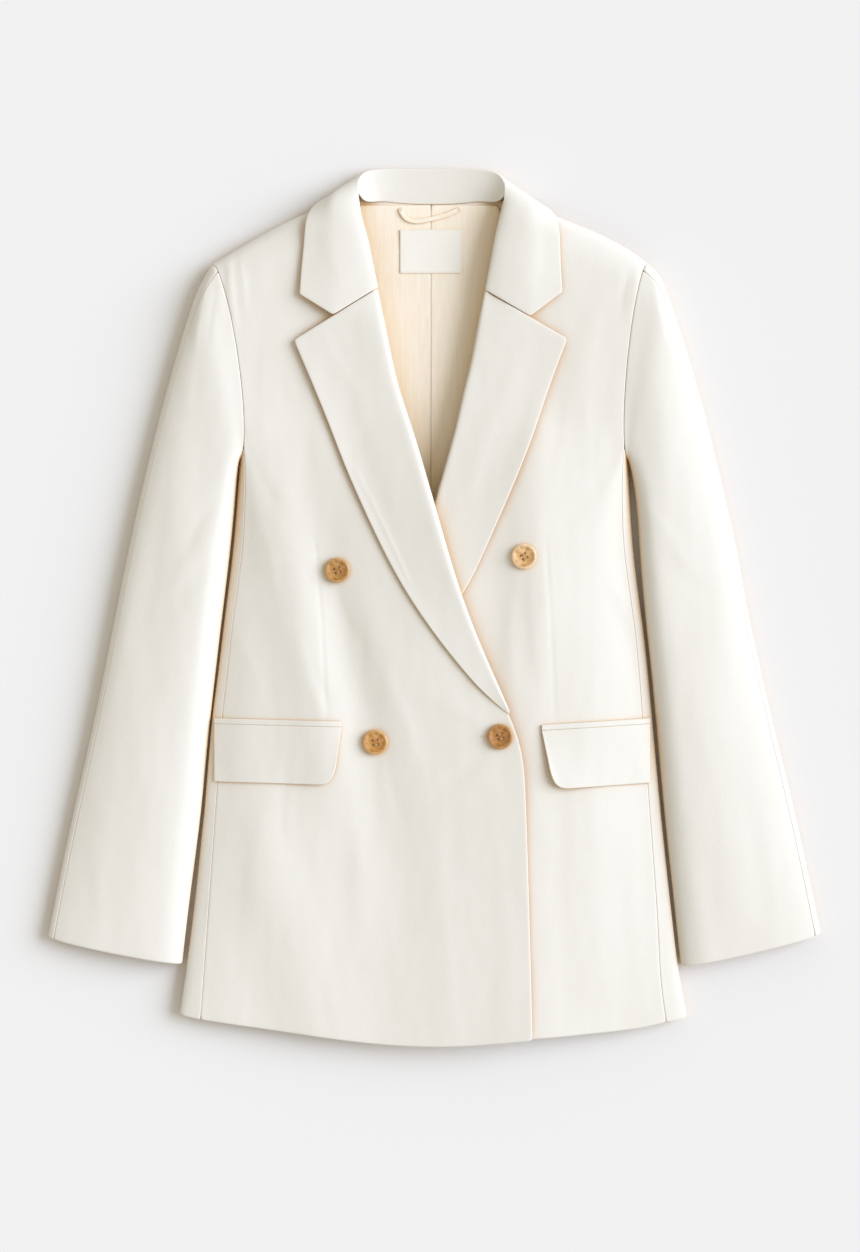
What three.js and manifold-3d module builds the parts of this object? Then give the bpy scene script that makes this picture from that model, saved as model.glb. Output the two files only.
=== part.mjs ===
// A double breasted blazer laid flat on its back, fastened, in millimetres with +Z up.
// X runs across the garment, Y up towards the collar, and the origin is on the surface
// beneath the middle of the whole outline. Left and right are the wearer's, so the
// right half lies at negative X.

import * as THREE from 'three';
import { mergeVertices } from 'three/addons/utils/BufferGeometryUtils.js';
import Module from 'manifold-3d';

const wasm = await Module();
wasm.setup();

// Driving dimensions of the cloth
const clothThickness = 1.5;
const liningThickness = 1.0;
const seamGap = 0.3;
const layerGap = 0.4;
const pocketGap = 0.8;
const frontLift = 5;
const underFrontDrop = 4;
const edgeHeight = 10;
const edgeRoll = 12;
const shoulderRoll = 30;
const sideRoll = 66;
const sleeveRoll = 18;
const rollEnd = { radius: 1.9, y: -92, fullY: 140, edgeY: -107, lapelY: -92 };
const rollStart = { lapelY: 296, neckY: 350 };
const centreBackX = -3;

// The stacked fronts crown the body: from one station the cloth climbs, with a soft start,
// to the free edge of the over front, and falls from there to another
const crown = { fromX: -98, topX: 80, toX: 178, height: 9.5, ease: 0.25 };

// Below this stretch the two fronts lie closer together than where a lapel is between
const closeFronts = { fromY: -205, toY: -118, share: 0.5 };

// Where the lapels and the V begin, the fronts part; beside the overlap each settles
const overlapTop = { fromY: 95, toY: 190 };
const overLayer = { fromX: -150, toX: -95 };
const underLayer = { fromX: 92, toX: 150 };

// How far below the armhole the side's broad roll reaches its full size
const sideRollStart = 105;

// The back rises over the collar leaf beneath the neck
const neckRise = { height: 3, fromY: 298, toY: 346, fullX: 70, endX: 110 };

// Driving dimensions of the buttons
const buttonDiameter = 22.6;
const buttonThickness = 3.4;
const buttonRimWidth = 2.6;
const buttonDish = 0.9;
const holeDiameter = 2.1;
const holeSpread = 4.2;
const holeSides = 6;
const buttonSides = 20;

// The button's section from its back over the rim to the dished face: how far each point
// lies in from the rim, and its height
const buttonSection = [
  { inset: 2.4, height: 0 },
  { inset: 0.3, height: 1.3 },
  { inset: 0, height: 2.2 },
  { inset: 0.9, height: buttonThickness },
  { inset: buttonRimWidth, height: buttonThickness - 0.2 },
  { inset: buttonRimWidth + 1.2, height: buttonThickness - buttonDish },
];
const dishBottom = buttonThickness - buttonDish - 0.1;

// Finishes, with colours taken by eye
const finishes = {
  cloth: { color: 0xf4f0e4, roughness: 0.85, metalness: 0 },
  lining: { color: 0xf3e6d2, roughness: 0.5, metalness: 0 },
  label: { color: 0xf8f4ea, roughness: 0.6, metalness: 0 },
  horn: { color: 0xa67c4e, roughness: 0.35, metalness: 0 },
};

// Height of the body's upper face above the surface, at stations up the garment
const bodyHeights = [
  { y: -385, top: 15 },
  { y: -260, top: 18 },
  { y: -110, top: 21 },
  { y: 40, top: 22 },
  { y: 150, top: 21 },
  { y: 240, top: 20 },
  { y: 310, top: 22 },
  { y: 385, top: 20 },
];

// The largest folds: a soft ridge (height above 0) or trough along a run of points
const folds = [
  { run: [[-150, 150], [-141, 70], [-128, 0], [-98, -85], [-86, -150]], height: 2.1, width: 24 },
  { run: [[-108, 105], [-92, 6], [-64, -78], [-44, -180]], height: -2.7, width: 16 },
  { run: [[-8, -20], [4, -85]], height: 1, width: 18 },
  { run: [[-184, -60], [-188, -150]], height: -1.6, width: 15 },
  { run: [[-152, -175], [-146, -260]], height: 1.8, width: 19 },
  { run: [[-120, -270], [-96, -365]], height: 2.2, width: 26 },
  { run: [[-33, -180], [-28, -265]], height: -1.6, width: 20 },
  { run: [[94, 150], [96, -30]], height: 1.8, width: 17 },
  { run: [[52, 60], [60, -30]], height: -1.6, width: 15 },
  { run: [[140, -180], [150, -350]], height: 1, width: 18 },
  { run: [[-206, 205], [-204, 85]], height: -1.8, width: 11 },
  { run: [[-238, 50], [-252, -60]], height: -1.8, width: 13 },
  { run: [[-262, 60], [-284, -80]], height: 1.5, width: 12 },
  { run: [[-250, -150], [-262, -270]], height: 1.2, width: 18 },
  { run: [[190, 200], [203, 110]], height: 1.6, width: 13 },
  { run: [[216, 90], [240, -60]], height: -1.4, width: 14 },
  { run: [[236, -90], [262, -260]], height: 1.4, width: 17 },
];

// Shoulder seams from the armhole to the neck
const shoulderRight = [
  { x: -194, y: 299 },
  { x: -155, y: 322 },
  { x: -126, y: 337 },
  { x: -108, y: 345 },
  { x: -68, y: 361 },
];
const shoulderLeft = [
  { x: 186, y: 300 },
  { x: 174, y: 309 },
  { x: 151, y: 322 },
  { x: 109, y: 340 },
  { x: 62, y: 359 },
];

// Armholes: the shoulder point, the underarm point and how far the seams bow inwards
const armholeRight = {
  shoulder: { x: -194, y: 299 },
  underarm: { x: -170, y: 128 },
  frontBow: 12,
  backBow: 9,
};
const armholeLeft = {
  shoulder: { x: 186, y: 300 },
  underarm: { x: 169, y: 128 },
  frontBow: -10,
  backBow: -8,
};

// Side edge of the body, and the two side seams measured in from it
const sideEdgeRight = [
  { y: 128, x: -170, front: 10, back: 11 },
  { y: 66, x: -173.8, front: 9, back: 30 },
  { y: 29, x: -178, front: 8, back: 42 },
  { y: -11, x: -183.5, front: 8, back: 45 },
  { y: -56, x: -188.5, front: 8, back: 46 },
  { y: -98, x: -194.5, front: 9, back: 47 },
  { y: -168, x: -200, front: 10, back: 50 },
  { y: -250, x: -208, front: 12, back: 54 },
  { y: -310, x: -215.5, front: 15, back: 57 },
  { y: -354, x: -222, front: 18, back: 60 },
];
const sideEdgeLeft = [
  { y: 128, x: 169, front: 10, back: 11 },
  { y: 58, x: 172.5, front: 9, back: 30 },
  { y: 14, x: 178, front: 8, back: 42 },
  { y: -29, x: 184, front: 8, back: 45 },
  { y: -99, x: 190.5, front: 9, back: 47 },
  { y: -169, x: 197, front: 10, back: 50 },
  { y: -224, x: 202, front: 11, back: 53 },
  { y: -275, x: 208, front: 13, back: 56 },
  { y: -314, x: 212, front: 16, back: 58 },
  { y: -356, x: 220, front: 18, back: 60 },
];

// Roll line from the neck, round the bottom of the V, and down the front's free edge
const rollRight = [
  { x: -68, y: 361 },
  { x: -63, y: 338 },
  { x: -58, y: 323 },
  { x: -49, y: 278 },
  { x: -40, y: 234 },
  { x: -33, y: 200 },
  { x: -23, y: 168 },
  { x: -13, y: 138 },
  { x: 0, y: 92 },
  { x: 9, y: 59 },
  { x: 25, y: 6 },
  { x: 38, y: -28 },
  { x: 50, y: -56 },
  { x: 61, y: -80 },
  { x: 69, y: -97 },
  { x: 76, y: -116 },
  { x: 79, y: -169 },
  { x: 82, y: -262 },
  { x: 85, y: -376 },
];
const rollLeft = [
  { x: 62, y: 359 },
  { x: 57, y: 344 },
  { x: 49, y: 305 },
  { x: 44, y: 276 },
  { x: 38, y: 248 },
  { x: 32, y: 213 },
  { x: 26, y: 191 },
  { x: 18, y: 154 },
  { x: 7, y: 115 },
  { x: -4, y: 78 },
  { x: -13, y: 52 },
  { x: -29, y: 6 },
  { x: -42, y: -28 },
  { x: -54, y: -56 },
  { x: -65, y: -80 },
  { x: -73, y: -97 },
  { x: -80, y: -116 },
  { x: -83, y: -169 },
  { x: -86, y: -262 },
  { x: -89, y: -372 },
];

// Outer edges of the lapels, from the tip down to where each runs into its front's edge
const lapelEdgeRight = [
  { x: -122, y: 232 },
  { x: -97, y: 173 },
  { x: -72, y: 109 },
  { x: -46, y: 52 },
  { x: -29, y: 20 },
  { x: -10, y: -11 },
  { x: 7, y: -31 },
  { x: 25, y: -55 },
  { x: 56, y: -89 },
];
const lapelEdgeLeft = [
  { x: 115, y: 233 },
  { x: 98, y: 188 },
  { x: 88, y: 157 },
  { x: 77, y: 128 },
  { x: 66, y: 100 },
  { x: 54, y: 73 },
  { x: 41, y: 44 },
  { x: 25, y: 9 },
  { x: 6, y: -13 },
  { x: -11, y: -31 },
  { x: -29, y: -55 },
  { x: -60, y: -89 },
];

// Hems of the two fronts, from the side seam to the free edge
const hemRight = [
  { x: -204, y: -359 },
  { x: -170, y: -364 },
  { x: -134, y: -369 },
  { x: -59, y: -379 },
  { x: -11, y: -382 },
  { x: 31, y: -381 },
  { x: 85, y: -376 },
];
const hemLeft = [
  { x: 202, y: -361 },
  { x: 181, y: -366 },
  { x: 135, y: -371 },
  { x: 88, y: -375 },
  { x: 0, y: -377 },
  { x: -89, y: -372 },
];

// Sleeves: the outer and inner edges from the armhole to the cuff, and the shares of the
// width over which the outer side and, at the cuff, the inner one round down
const sleeveRight = {
  outerShare: 0.72,
  innerShare: 0.25,
  outer: [
    { x: -195, y: 299 },
    { x: -207, y: 277 },
    { x: -226, y: 216 },
    { x: -245, y: 145 },
    { x: -261, y: 77 },
    { x: -279, y: -11 },
    { x: -297, y: -102 },
    { x: -318, y: -192 },
    { x: -337, y: -287 },
  ],
  inner: [
    { x: -170.8, y: 127.6 },
    { x: -173, y: 104 },
    { x: -176, y: 66 },
    { x: -180.5, y: 29 },
    { x: -185.5, y: -11 },
    { x: -190.5, y: -56 },
    { x: -196.5, y: -98 },
    { x: -202, y: -168 },
    { x: -213, y: -250 },
    { x: -220, y: -310 },
  ],
};
const sleeveLeft = {
  outerShare: 0.6,
  innerShare: 0.18,
  outer: [
    { x: 187, y: 300 },
    { x: 196, y: 293 },
    { x: 209, y: 256 },
    { x: 228, y: 199 },
    { x: 244, y: 133 },
    { x: 260, y: 71 },
    { x: 275, y: -15 },
    { x: 300, y: -121 },
    { x: 315, y: -182 },
    { x: 337, y: -284 },
  ],
  inner: [
    { x: 169.8, y: 127.6 },
    { x: 174, y: 108 },
    { x: 178, y: 76 },
    { x: 181, y: 9 },
    { x: 187, y: -29 },
    { x: 193, y: -96 },
    { x: 199.5, y: -169 },
    { x: 211, y: -275 },
    { x: 215, y: -312 },
  ],
};
const cuffBow = 3;
const cuffEdgeHeight = 9;
const headBlend = 0.05;
const headFade = 14;
const sleeveSkew = 1.7;
const sleeveHeights = [
  { along: 0, top: 21.5 },
  { along: 0.12, top: 24 },
  { along: 0.45, top: 26 },
  { along: 0.8, top: 22 },
  { along: 1, top: 18.5 },
];

// Collar leaf, a row for each station from the right gorge round the neck to the left
// one: the fold, a middle point and the free edge; over the shoulders also the point
// that it turns round
const collarStations = [
  { fold: [-49, 277.9, 24], middle: [-88, 253.9, 28.5], edge: [-117, 272, 26.5] },
  { fold: [-54, 302, 23.4], middle: [-84, 290, 28.8], edge: [-115, 300, 25.6] },
  { fold: [-58, 322, 23.2], middle: [-84, 316, 29], edge: [-113, 319, 25] },
  { fold: [-63, 338, 23.2], middle: [-85, 336, 29], edge: [-112, 334, 24.8] },
  { fold: [-65, 352, 22], middle: [-90, 351, 26.5], edge: [-108, 347, 18], turn: [-69, 352, 27] },
  { fold: [-66.5, 364, 20], middle: [-86, 364, 17], edge: [-95, 358, 5], turn: [-78, 364, 21.5] },
  { fold: [-66, 375, 15], middle: [-74, 371, 6], edge: [-78, 359, 0.6], turn: [-71, 376, 10] },
  { fold: [-58, 382, 8], middle: [-60, 377, 0.9], edge: [-62, 350, 0] },
  { fold: [-30, 383, 4.5], middle: [-30, 377.5, 0.2], edge: [-32, 342, 0] },
  { fold: [-3, 383, 4], middle: [-3, 377.5, 0.2], edge: [-3, 341, 0] },
  { fold: [26, 383, 4.5], middle: [26, 377.5, 0.2], edge: [26, 342, 0] },
  { fold: [53, 381, 8], middle: [55, 376, 0.9], edge: [56, 350, 0] },
  { fold: [61, 372, 15], middle: [69, 368, 6], edge: [73, 357, 0.6], turn: [66, 373, 10] },
  { fold: [61, 362, 20], middle: [82, 360, 17], edge: [91, 354, 5], turn: [73, 362, 21.5] },
  { fold: [60, 351, 22], middle: [86, 348, 26.5], edge: [104, 344, 18], turn: [64, 351, 27] },
  { fold: [57.5, 342, 23.2], middle: [82, 336, 28.4], edge: [108, 331, 24.8] },
  { fold: [53, 324, 23.2], middle: [80, 315, 28], edge: [109, 316, 25] },
  { fold: [49, 302, 23.2], middle: [79, 289, 28], edge: [109.5, 298, 25.4] },
  { fold: [44, 275.8, 23], middle: [83, 252.8, 27], edge: [111, 274, 26] },
];

// Collar stand, seen inside the back neck: its fold edge and its neck seam
const standStations = [
  { fold: [-64, 363, 19], seam: [-59, 358, 14] },
  { fold: [-63, 374, 15.5], seam: [-55, 356.5, 10] },
  { fold: [-55, 380.5, 10], seam: [-45, 355.2, 6.5] },
  { fold: [-30, 382, 6.8], seam: [-27, 352.8, 4.9] },
  { fold: [-3, 382, 6.3], seam: [-3, 352, 4.6] },
  { fold: [26, 382, 6.8], seam: [22, 352.8, 4.9] },
  { fold: [50, 379.5, 10], seam: [40, 355.2, 6.5] },
  { fold: [58, 371, 15.5], seam: [50, 356.5, 10] },
  { fold: [58.5, 361, 19], seam: [54, 357.5, 14] },
];

// Half widths of the back lining from its centre seam, down to just below the V
const liningWidths = [
  { y: 351, right: 54, left: 50 },
  { y: 330, right: 66, left: 62 },
  { y: 278, right: 58, left: 58 },
  { y: 213, right: 44, left: 47 },
  { y: 150, right: 26, left: 34 },
  { y: 84, right: 14, left: 16 },
];

const labelSize = { x: -3, y: 311, width: 54, height: 38, thickness: 0.7 };
const hangerLoop = [
  { x: -30, y: 349 },
  { x: -27, y: 341 },
  { x: -19, y: 337 },
  { x: -3, y: 339 },
  { x: 14, y: 344 },
  { x: 24, y: 349 },
];
const loopWidth = 4;

// Pockets: the flap's top line, its lean, depth and corner, and how far its lower front
// corner stands off the cloth
const pockets = {
  right: {
    sideX: -191,
    sideY: -101.5,
    frontX: -81,
    frontY: -104,
    lean: -5,
    depth: 50,
    corner: 13,
    lift: 0.8,
  },
  left: {
    sideX: 187,
    sideY: -101.5,
    frontX: 93,
    frontY: -107,
    lean: 8,
    depth: 51,
    corner: 14,
    lift: 4,
  },
};
const weltHeight = 4.6;
const flapStand = { from: 0.45, to: 1 };

// Buttons, by the layer that carries each
const buttons = [
  { name: 'button_over_upper', x: -84, y: 32, layer: 'over' },
  { name: 'button_over_lower', x: -51, y: -117, layer: 'over' },
  { name: 'button_under_upper', x: 78, y: 44, layer: 'under' },
  { name: 'button_fastened', x: 57, y: -112, layer: 'over' },
];

// Small sums

function mix(a, b, t) {
  return a + (b - a) * t;
}

function smooth(from, to, value) {
  return THREE.MathUtils.smoothstep(value, from, to);
}

// A value read off a table by a smooth curve through its rows
function readTable(rows, key, at, column) {
  const rising = rows[rows.length - 1][key] > rows[0][key];
  const order = rising ? rows : [...rows].reverse();
  const last = order.length - 1;
  if (at <= order[0][key]) return order[0][column];
  if (at >= order[last][key]) return order[last][column];
  let i = 0;
  while (order[i + 1][key] < at) i += 1;
  const before = order[Math.max(0, i - 1)];
  const after = order[Math.min(last, i + 2)];
  const low = order[i];
  const high = order[i + 1];
  const span = high[key] - low[key];
  const slopeLow = ((high[column] - before[column]) / (high[key] - before[key])) * span;
  const slopeHigh = ((after[column] - low[column]) / (after[key] - low[key])) * span;
  const t = (at - low[key]) / span;
  const t2 = t * t;
  const t3 = t2 * t;
  return (2 * t3 - 3 * t2 + 1) * low[column] + (t3 - 2 * t2 + t) * slopeLow
    + (3 * t2 - 2 * t3) * high[column] + (t3 - t2) * slopeHigh;
}

// A smooth plan curve through a table's points, read by its share of the length
function planCurve(rows) {
  const points = rows.map((row) => new THREE.Vector3(row.x, row.y, 0));
  const curve = new THREE.CatmullRomCurve3(points, false, 'centripetal');
  curve.arcLengthDivisions = 400;
  return curve;
}

function distanceToRun(fromX, fromY, toX, toY, x, y) {
  const runX = toX - fromX;
  const runY = toY - fromY;
  const along = ((x - fromX) * runX + (y - fromY) * runY) / (runX * runX + runY * runY);
  const t = Math.min(1, Math.max(0, along));
  return Math.hypot(x - fromX - t * runX, y - fromY - t * runY);
}

function distanceToLine(rows, x, y) {
  let nearest = Infinity;
  for (let i = 0; i + 1 < rows.length; i += 1) {
    nearest = Math.min(nearest, distanceToRun(rows[i].x, rows[i].y, rows[i + 1].x, rows[i + 1].y, x, y));
  }
  return nearest;
}

// Share of the full height at a distance in from a rounded edge
function rollShare(distance, radius) {
  const t = 1 - Math.min(1, Math.max(0, distance / radius));
  return Math.sqrt(1 - t * t);
}

// Surfaces of the laid garment

const foldLines = folds.map((fold) => fold.run.map(([x, y]) => ({ x, y })));

function foldHeight(x, y) {
  let sum = 0;
  folds.forEach((fold, i) => {
    const away = distanceToLine(foldLines[i], x, y) / fold.width;
    sum += fold.height * Math.exp(-away * away);
  });
  return sum;
}

function sideDistance(edge, x, y) {
  return Math.abs(readTable(edge, 'y', y, 'x')) - Math.abs(x);
}

// The two halves. A roll stands on its radius, and its rise dies away outwards by the
// spring; a lapel's edge is lifted most at its tip, less below it by the fade
const halves = {
  right: {
    sign: -1,
    shoulder: shoulderRight,
    armhole: armholeRight,
    sideEdge: sideEdgeRight,
    roll: rollRight,
    lapelEdge: lapelEdgeRight,
    hem: hemRight,
    sleeve: sleeveRight,
    rollRadius: 5.2,
    rollSpring: 1.3,
    lapelLift: 2.2,
    lapelFade: 1.5,
    gorgeY: 277,
  },
  left: {
    sign: 1,
    shoulder: shoulderLeft,
    armhole: armholeLeft,
    sideEdge: sideEdgeLeft,
    roll: rollLeft,
    lapelEdge: lapelEdgeLeft,
    hem: hemLeft,
    sleeve: sleeveLeft,
    rollRadius: 3,
    rollSpring: 1,
    lapelLift: 5.5,
    lapelFade: 0.9,
    gorgeY: 275,
  },
};

function crownHeight(x) {
  const climb = Math.min(1, Math.max(0, (x - crown.fromX) / (crown.topX - crown.fromX)));
  const rise = (climb * climb * (1 + crown.ease)) / (climb + crown.ease);
  return crown.height * rise * (1 - smooth(crown.topX, crown.toX, x));
}

// Height of a body panel's upper face, rounded down at its shoulder and side edge
function frontHeight(half, x, y) {
  const armY = half.armhole.underarm.y;
  const side = y < armY ? sideDistance(half.sideEdge, x, y) : edgeRoll;
  const sideRadius = mix(sideRoll, edgeRoll, smooth(armY - sideRollStart, armY, y));
  const shoulderShare = rollShare(distanceToLine(half.shoulder, x, y), shoulderRoll);
  const share = Math.min(shoulderShare, rollShare(side, sideRadius));
  const down = 1 - smooth(overlapTop.fromY, overlapTop.toY, y);
  const close = mix(closeFronts.share, 1, smooth(closeFronts.fromY, closeFronts.toY, y));
  const layer = half.sign < 0
    ? frontLift * smooth(overLayer.fromX, overLayer.toX, x)
    : -underFrontDrop * (1 - smooth(underLayer.fromX, underLayer.toX, x));
  const raised = (layer * close + crownHeight(x)) * down;
  const top = readTable(bodyHeights, 'y', y, 'top') + foldHeight(x, y) + raised;
  return mix(edgeHeight, top, share);
}

// Height of the back's lower face: on the surface, up over the collar leaf at the neck
function neckLift(x, y) {
  const aside = smooth(neckRise.fullX, neckRise.endX, Math.abs(x - centreBackX));
  return neckRise.height * smooth(neckRise.fromY, neckRise.toY, y) * (1 - aside);
}

function backHeight(half, x, y) {
  const share = rollShare(distanceToLine(half.shoulder, x, y), edgeRoll);
  return mix(edgeHeight, neckLift(x, y), share);
}

// A point of the armhole ring: 0 at the shoulder, over the front to half a turn at the
// underarm, and back beneath
function armholePoint(half, angle) {
  const { shoulder, underarm, frontBow, backBow } = half.armhole;
  const across = (1 - Math.cos(angle)) / 2;
  const turn = Math.sin(angle);
  const lengthX = underarm.x - shoulder.x;
  const lengthY = underarm.y - shoulder.y;
  const length = Math.hypot(lengthX, lengthY);
  const bow = (turn > 0 ? frontBow : backBow) * Math.abs(turn);
  const x = shoulder.x + lengthX * across - (lengthY / length) * bow;
  const y = shoulder.y + lengthY * across + (lengthX / length) * bow;
  const share = rollShare((1 - across) * length, edgeRoll);
  const z = turn > 0
    ? mix(edgeHeight, frontHeight(half, x, y), share)
    : mix(edgeHeight, backHeight(half, x, y), share);
  return new THREE.Vector3(x, y, z);
}

// Outward normal of the armhole ring: square to the ring and to the line out of the body
function ringOutwards(half) {
  const { shoulder, underarm } = half.armhole;
  return new THREE.Vector3(shoulder.y - underarm.y, underarm.x - shoulder.x, 0).normalize();
}

function ringNormal(half, angle) {
  const step = 0.01;
  const tangent = armholePoint(half, angle + step).sub(armholePoint(half, angle - step));
  return new THREE.Vector3().crossVectors(tangent, ringOutwards(half)).normalize();
}

// Closed walls

// A wall from a grid of points on its outer face: the inner face lies a thickness
// beneath, against the outward normals, and the rims are closed. Where two pieces meet
// at a seam, normalAt gives both the same normals, so that their rims stay parallel
function wallFromGrid(grid, thickness, outward, normalAt = () => null) {
  const rows = grid.length;
  const columns = grid[0].length;
  const positions = [];
  const inner = [];
  const alongRow = new THREE.Vector3();
  const alongColumn = new THREE.Vector3();
  for (let r = 0; r < rows; r += 1) {
    for (let c = 0; c < columns; c += 1) {
      alongRow.subVectors(grid[r][Math.min(columns - 1, c + 1)], grid[r][Math.max(0, c - 1)]);
      alongColumn.subVectors(grid[Math.min(rows - 1, r + 1)][c], grid[Math.max(0, r - 1)][c]);
      const own = new THREE.Vector3().crossVectors(alongRow, alongColumn).normalize();
      own.multiplyScalar(outward);
      const normal = normalAt(r, c, own) ?? own;
      positions.push(...grid[r][c].toArray());
      inner.push(...grid[r][c].clone().addScaledVector(normal, -thickness).toArray());
    }
  }
  const half = rows * columns;
  const faces = [];
  const quad = (a, b, c, d) => {
    faces.push(a, b, c, a, c, d);
  };
  for (let r = 0; r + 1 < rows; r += 1) {
    for (let c = 0; c + 1 < columns; c += 1) {
      const corner = r * columns + c;
      quad(corner, corner + 1, corner + columns + 1, corner + columns);
      quad(half + corner, half + corner + columns, half + corner + columns + 1, half + corner + 1);
    }
  }
  for (let c = 0; c + 1 < columns; c += 1) {
    const end = (rows - 1) * columns + c;
    quad(c + 1, c, half + c, half + c + 1);
    quad(end, end + 1, half + end + 1, half + end);
  }
  for (let r = 0; r + 1 < rows; r += 1) {
    const start = r * columns;
    const end = start + columns - 1;
    quad(start, start + columns, half + start + columns, half + start);
    quad(end + columns, end, half + end, half + end + columns);
  }
  if (outward < 0) {
    for (let i = 0; i < faces.length; i += 3) {
      [faces[i + 1], faces[i + 2]] = [faces[i + 2], faces[i + 1]];
    }
  }
  const geometry = new THREE.BufferGeometry();
  geometry.setAttribute('position', new THREE.Float32BufferAttribute([...positions, ...inner], 3));
  geometry.setIndex(faces);
  geometry.computeVertexNormals();
  return geometry;
}

// A normal laid into the upright plane through two points of a rim, so that two rims
// that face each other across a seam stay parallel
function alongPlane(normal, from, to) {
  const across = new THREE.Vector3(to.y - from.y, from.x - to.x, 0).normalize();
  return normal.clone().addScaledVector(across, -normal.dot(across)).normalize();
}

function gridOf(rows, columns, pointAt) {
  const grid = [];
  for (let r = 0; r <= rows; r += 1) {
    const line = [];
    for (let c = 0; c <= columns; c += 1) {
      line.push(pointAt(r / rows, c / columns));
    }
    grid.push(line);
  }
  return grid;
}

const garment = new THREE.Group();
const panelGrids = {};

function addPiece(name, geometry, finish) {
  const mesh = new THREE.Mesh(geometry, new THREE.MeshStandardMaterial(finishes[finish]));
  mesh.name = name;
  garment.add(mesh);
}

// Stations that neighbouring panels share: angles round the armhole ring, in degrees,
// and shares down the side seams
const frontArmAngles = [0, 10, 17, 24, 40, 60, 80, 100, 120, 137, 152];
const backArmAngles = [360, 350, 343, 336, 320, 300, 280, 260, 240, 222, 208];
const sideArmAngles = [152, 160, 166, 173, 180, 187, 194, 203, 208];
const topSleeveAngles = [24, 40, 60, 80, 100, 120, 137, 152, 160, 166, 173, 180, 187, 194, 203];
const underSleeveAngles = [203, 208, 222, 240, 260, 280, 300, 320, 336, 343, 350, 360, 370, 377, 384];
const seamShares = [0, 0.03, 0.08, 0.15, 0.23, 0.31, 0.39, 0.47, 0.55, 0.63, 0.71, 0.79, 0.86, 0.93, 1];

// Side seams, measured in from the side edge; they drop towards the hem, and just below
// the armhole they leave its ring
const sideDrop = { front: 5, back: 8, from: 0.7 };
const armholeEnd = { from: -0.02, to: 0.16 };

function sideSeamPoint(half, share, column) {
  const edge = half.sideEdge;
  const y = mix(edge[0].y, edge[edge.length - 1].y, share);
  const inset = readTable(edge, 'y', y, column);
  const x = readTable(edge, 'y', y, 'x') - half.sign * inset;
  return new THREE.Vector3(x, y - sideDrop[column] * smooth(sideDrop.from, 1, share), 0);
}

function leaveArmhole(share) {
  return smooth(armholeEnd.from, armholeEnd.to, share);
}

// A panel's outer boundary: down the armhole seam, then down the side seam
function outerBoundary(half, column) {
  const angles = column === 'front' ? frontArmAngles : backArmAngles;
  const ring = angles.map((angle) => armholePoint(half, THREE.MathUtils.degToRad(angle)));
  const points = ring.map((point) => new THREE.Vector3(point.x, point.y, 0));
  const start = points[points.length - 1];
  for (const share of seamShares.slice(1)) {
    points.push(start.clone().lerp(sideSeamPoint(half, share, column), leaveArmhole(share)));
  }
  const shares = [0];
  for (let i = 1; i < points.length; i += 1) {
    shares.push(shares[i - 1] + points[i].distanceTo(points[i - 1]));
  }
  const length = shares[shares.length - 1];
  return { points, shares: shares.map((share) => share / length) };
}

// A panel's plan between its outer and inner boundaries, with a top and a bottom line
function panelGrid(boundary, inner, top, bottom, columns) {
  const { points, shares } = boundary;
  const last = points.length - 1;
  return points.map((outerPoint, r) => {
    const down = shares[r];
    const line = [];
    for (let c = 0; c <= columns; c += 1) {
      const across = c / columns;
      const plan = outerPoint.clone().lerp(inner(down), across);
      const topError = top(across).clone().sub(points[0].clone().lerp(inner(0), across));
      const bottomError = bottom(across).clone().sub(points[last].clone().lerp(inner(1), across));
      plan.addScaledVector(topError, (1 - down) ** 3);
      plan.addScaledVector(bottomError, down ** 3);
      line.push(plan);
    }
    return line;
  });
}

// Inner boundary of a front: the roll line set in by the roll, which flattens towards the
// lapel's lower end, then the free edge
function rollRadiusAt(half, y) {
  return mix(rollEnd.radius, half.rollRadius, smooth(rollEnd.y, rollEnd.fullY, y));
}

function rollInset(half, y) {
  const lapelShare = smooth(rollEnd.edgeY, rollEnd.lapelY, y);
  const neckShare = smooth(rollStart.lapelY, rollStart.neckY, y);
  return lapelShare * (1 - neckShare) * (rollRadiusAt(half, y) + seamGap);
}

function innerBoundary(half) {
  const curve = planCurve(half.roll);
  return (down) => {
    const point = curve.getPointAt(down);
    const tangent = curve.getTangentAt(down);
    const inset = half.sign * rollInset(half, point.y);
    return new THREE.Vector3(point.x - tangent.y * inset, point.y + tangent.x * inset, 0);
  };
}

// Normals of a body panel's seams: the armhole ring's, turning upright down the side
// seam, and level along the shoulder seam
function seamNormal(half, angle, share, up) {
  const upright = new THREE.Vector3(0, 0, up);
  return ringNormal(half, THREE.MathUtils.degToRad(angle)).lerp(upright, leaveArmhole(share)).normalize();
}

const shoulderSlant = 0.8;

function panelNormals(half, column, lastColumn) {
  const angles = column === 'front' ? frontArmAngles : backArmAngles;
  const up = column === 'front' ? 1 : -1;
  const lastArm = angles.length - 1;
  return (r, c, own) => {
    if (c === 0 && r <= lastArm) return ringNormal(half, THREE.MathUtils.degToRad(angles[r]));
    if (c === 0) return seamNormal(half, angles[lastArm], seamShares[r - lastArm], up);
    if (r === 0 && Math.abs(own.z) < shoulderSlant) return own.clone().setZ(0).normalize();
    if (c === lastColumn) return new THREE.Vector3(0, 0, up);
    return own;
  };
}

function settlePanel(grid, half, heightAt, seamSide) {
  grid.forEach((line, r) => {
    line.forEach((plan, c) => {
      plan.x -= half.sign * (seamGap / 2) * (1 - c / (line.length - 1));
      plan.z = heightAt(half, plan.x, plan.y);
      if (r === 0) plan.z += seamSide * (seamGap / 2);
    });
  });
}

const frontColumns = 17;
const backColumns = 7;

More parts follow.
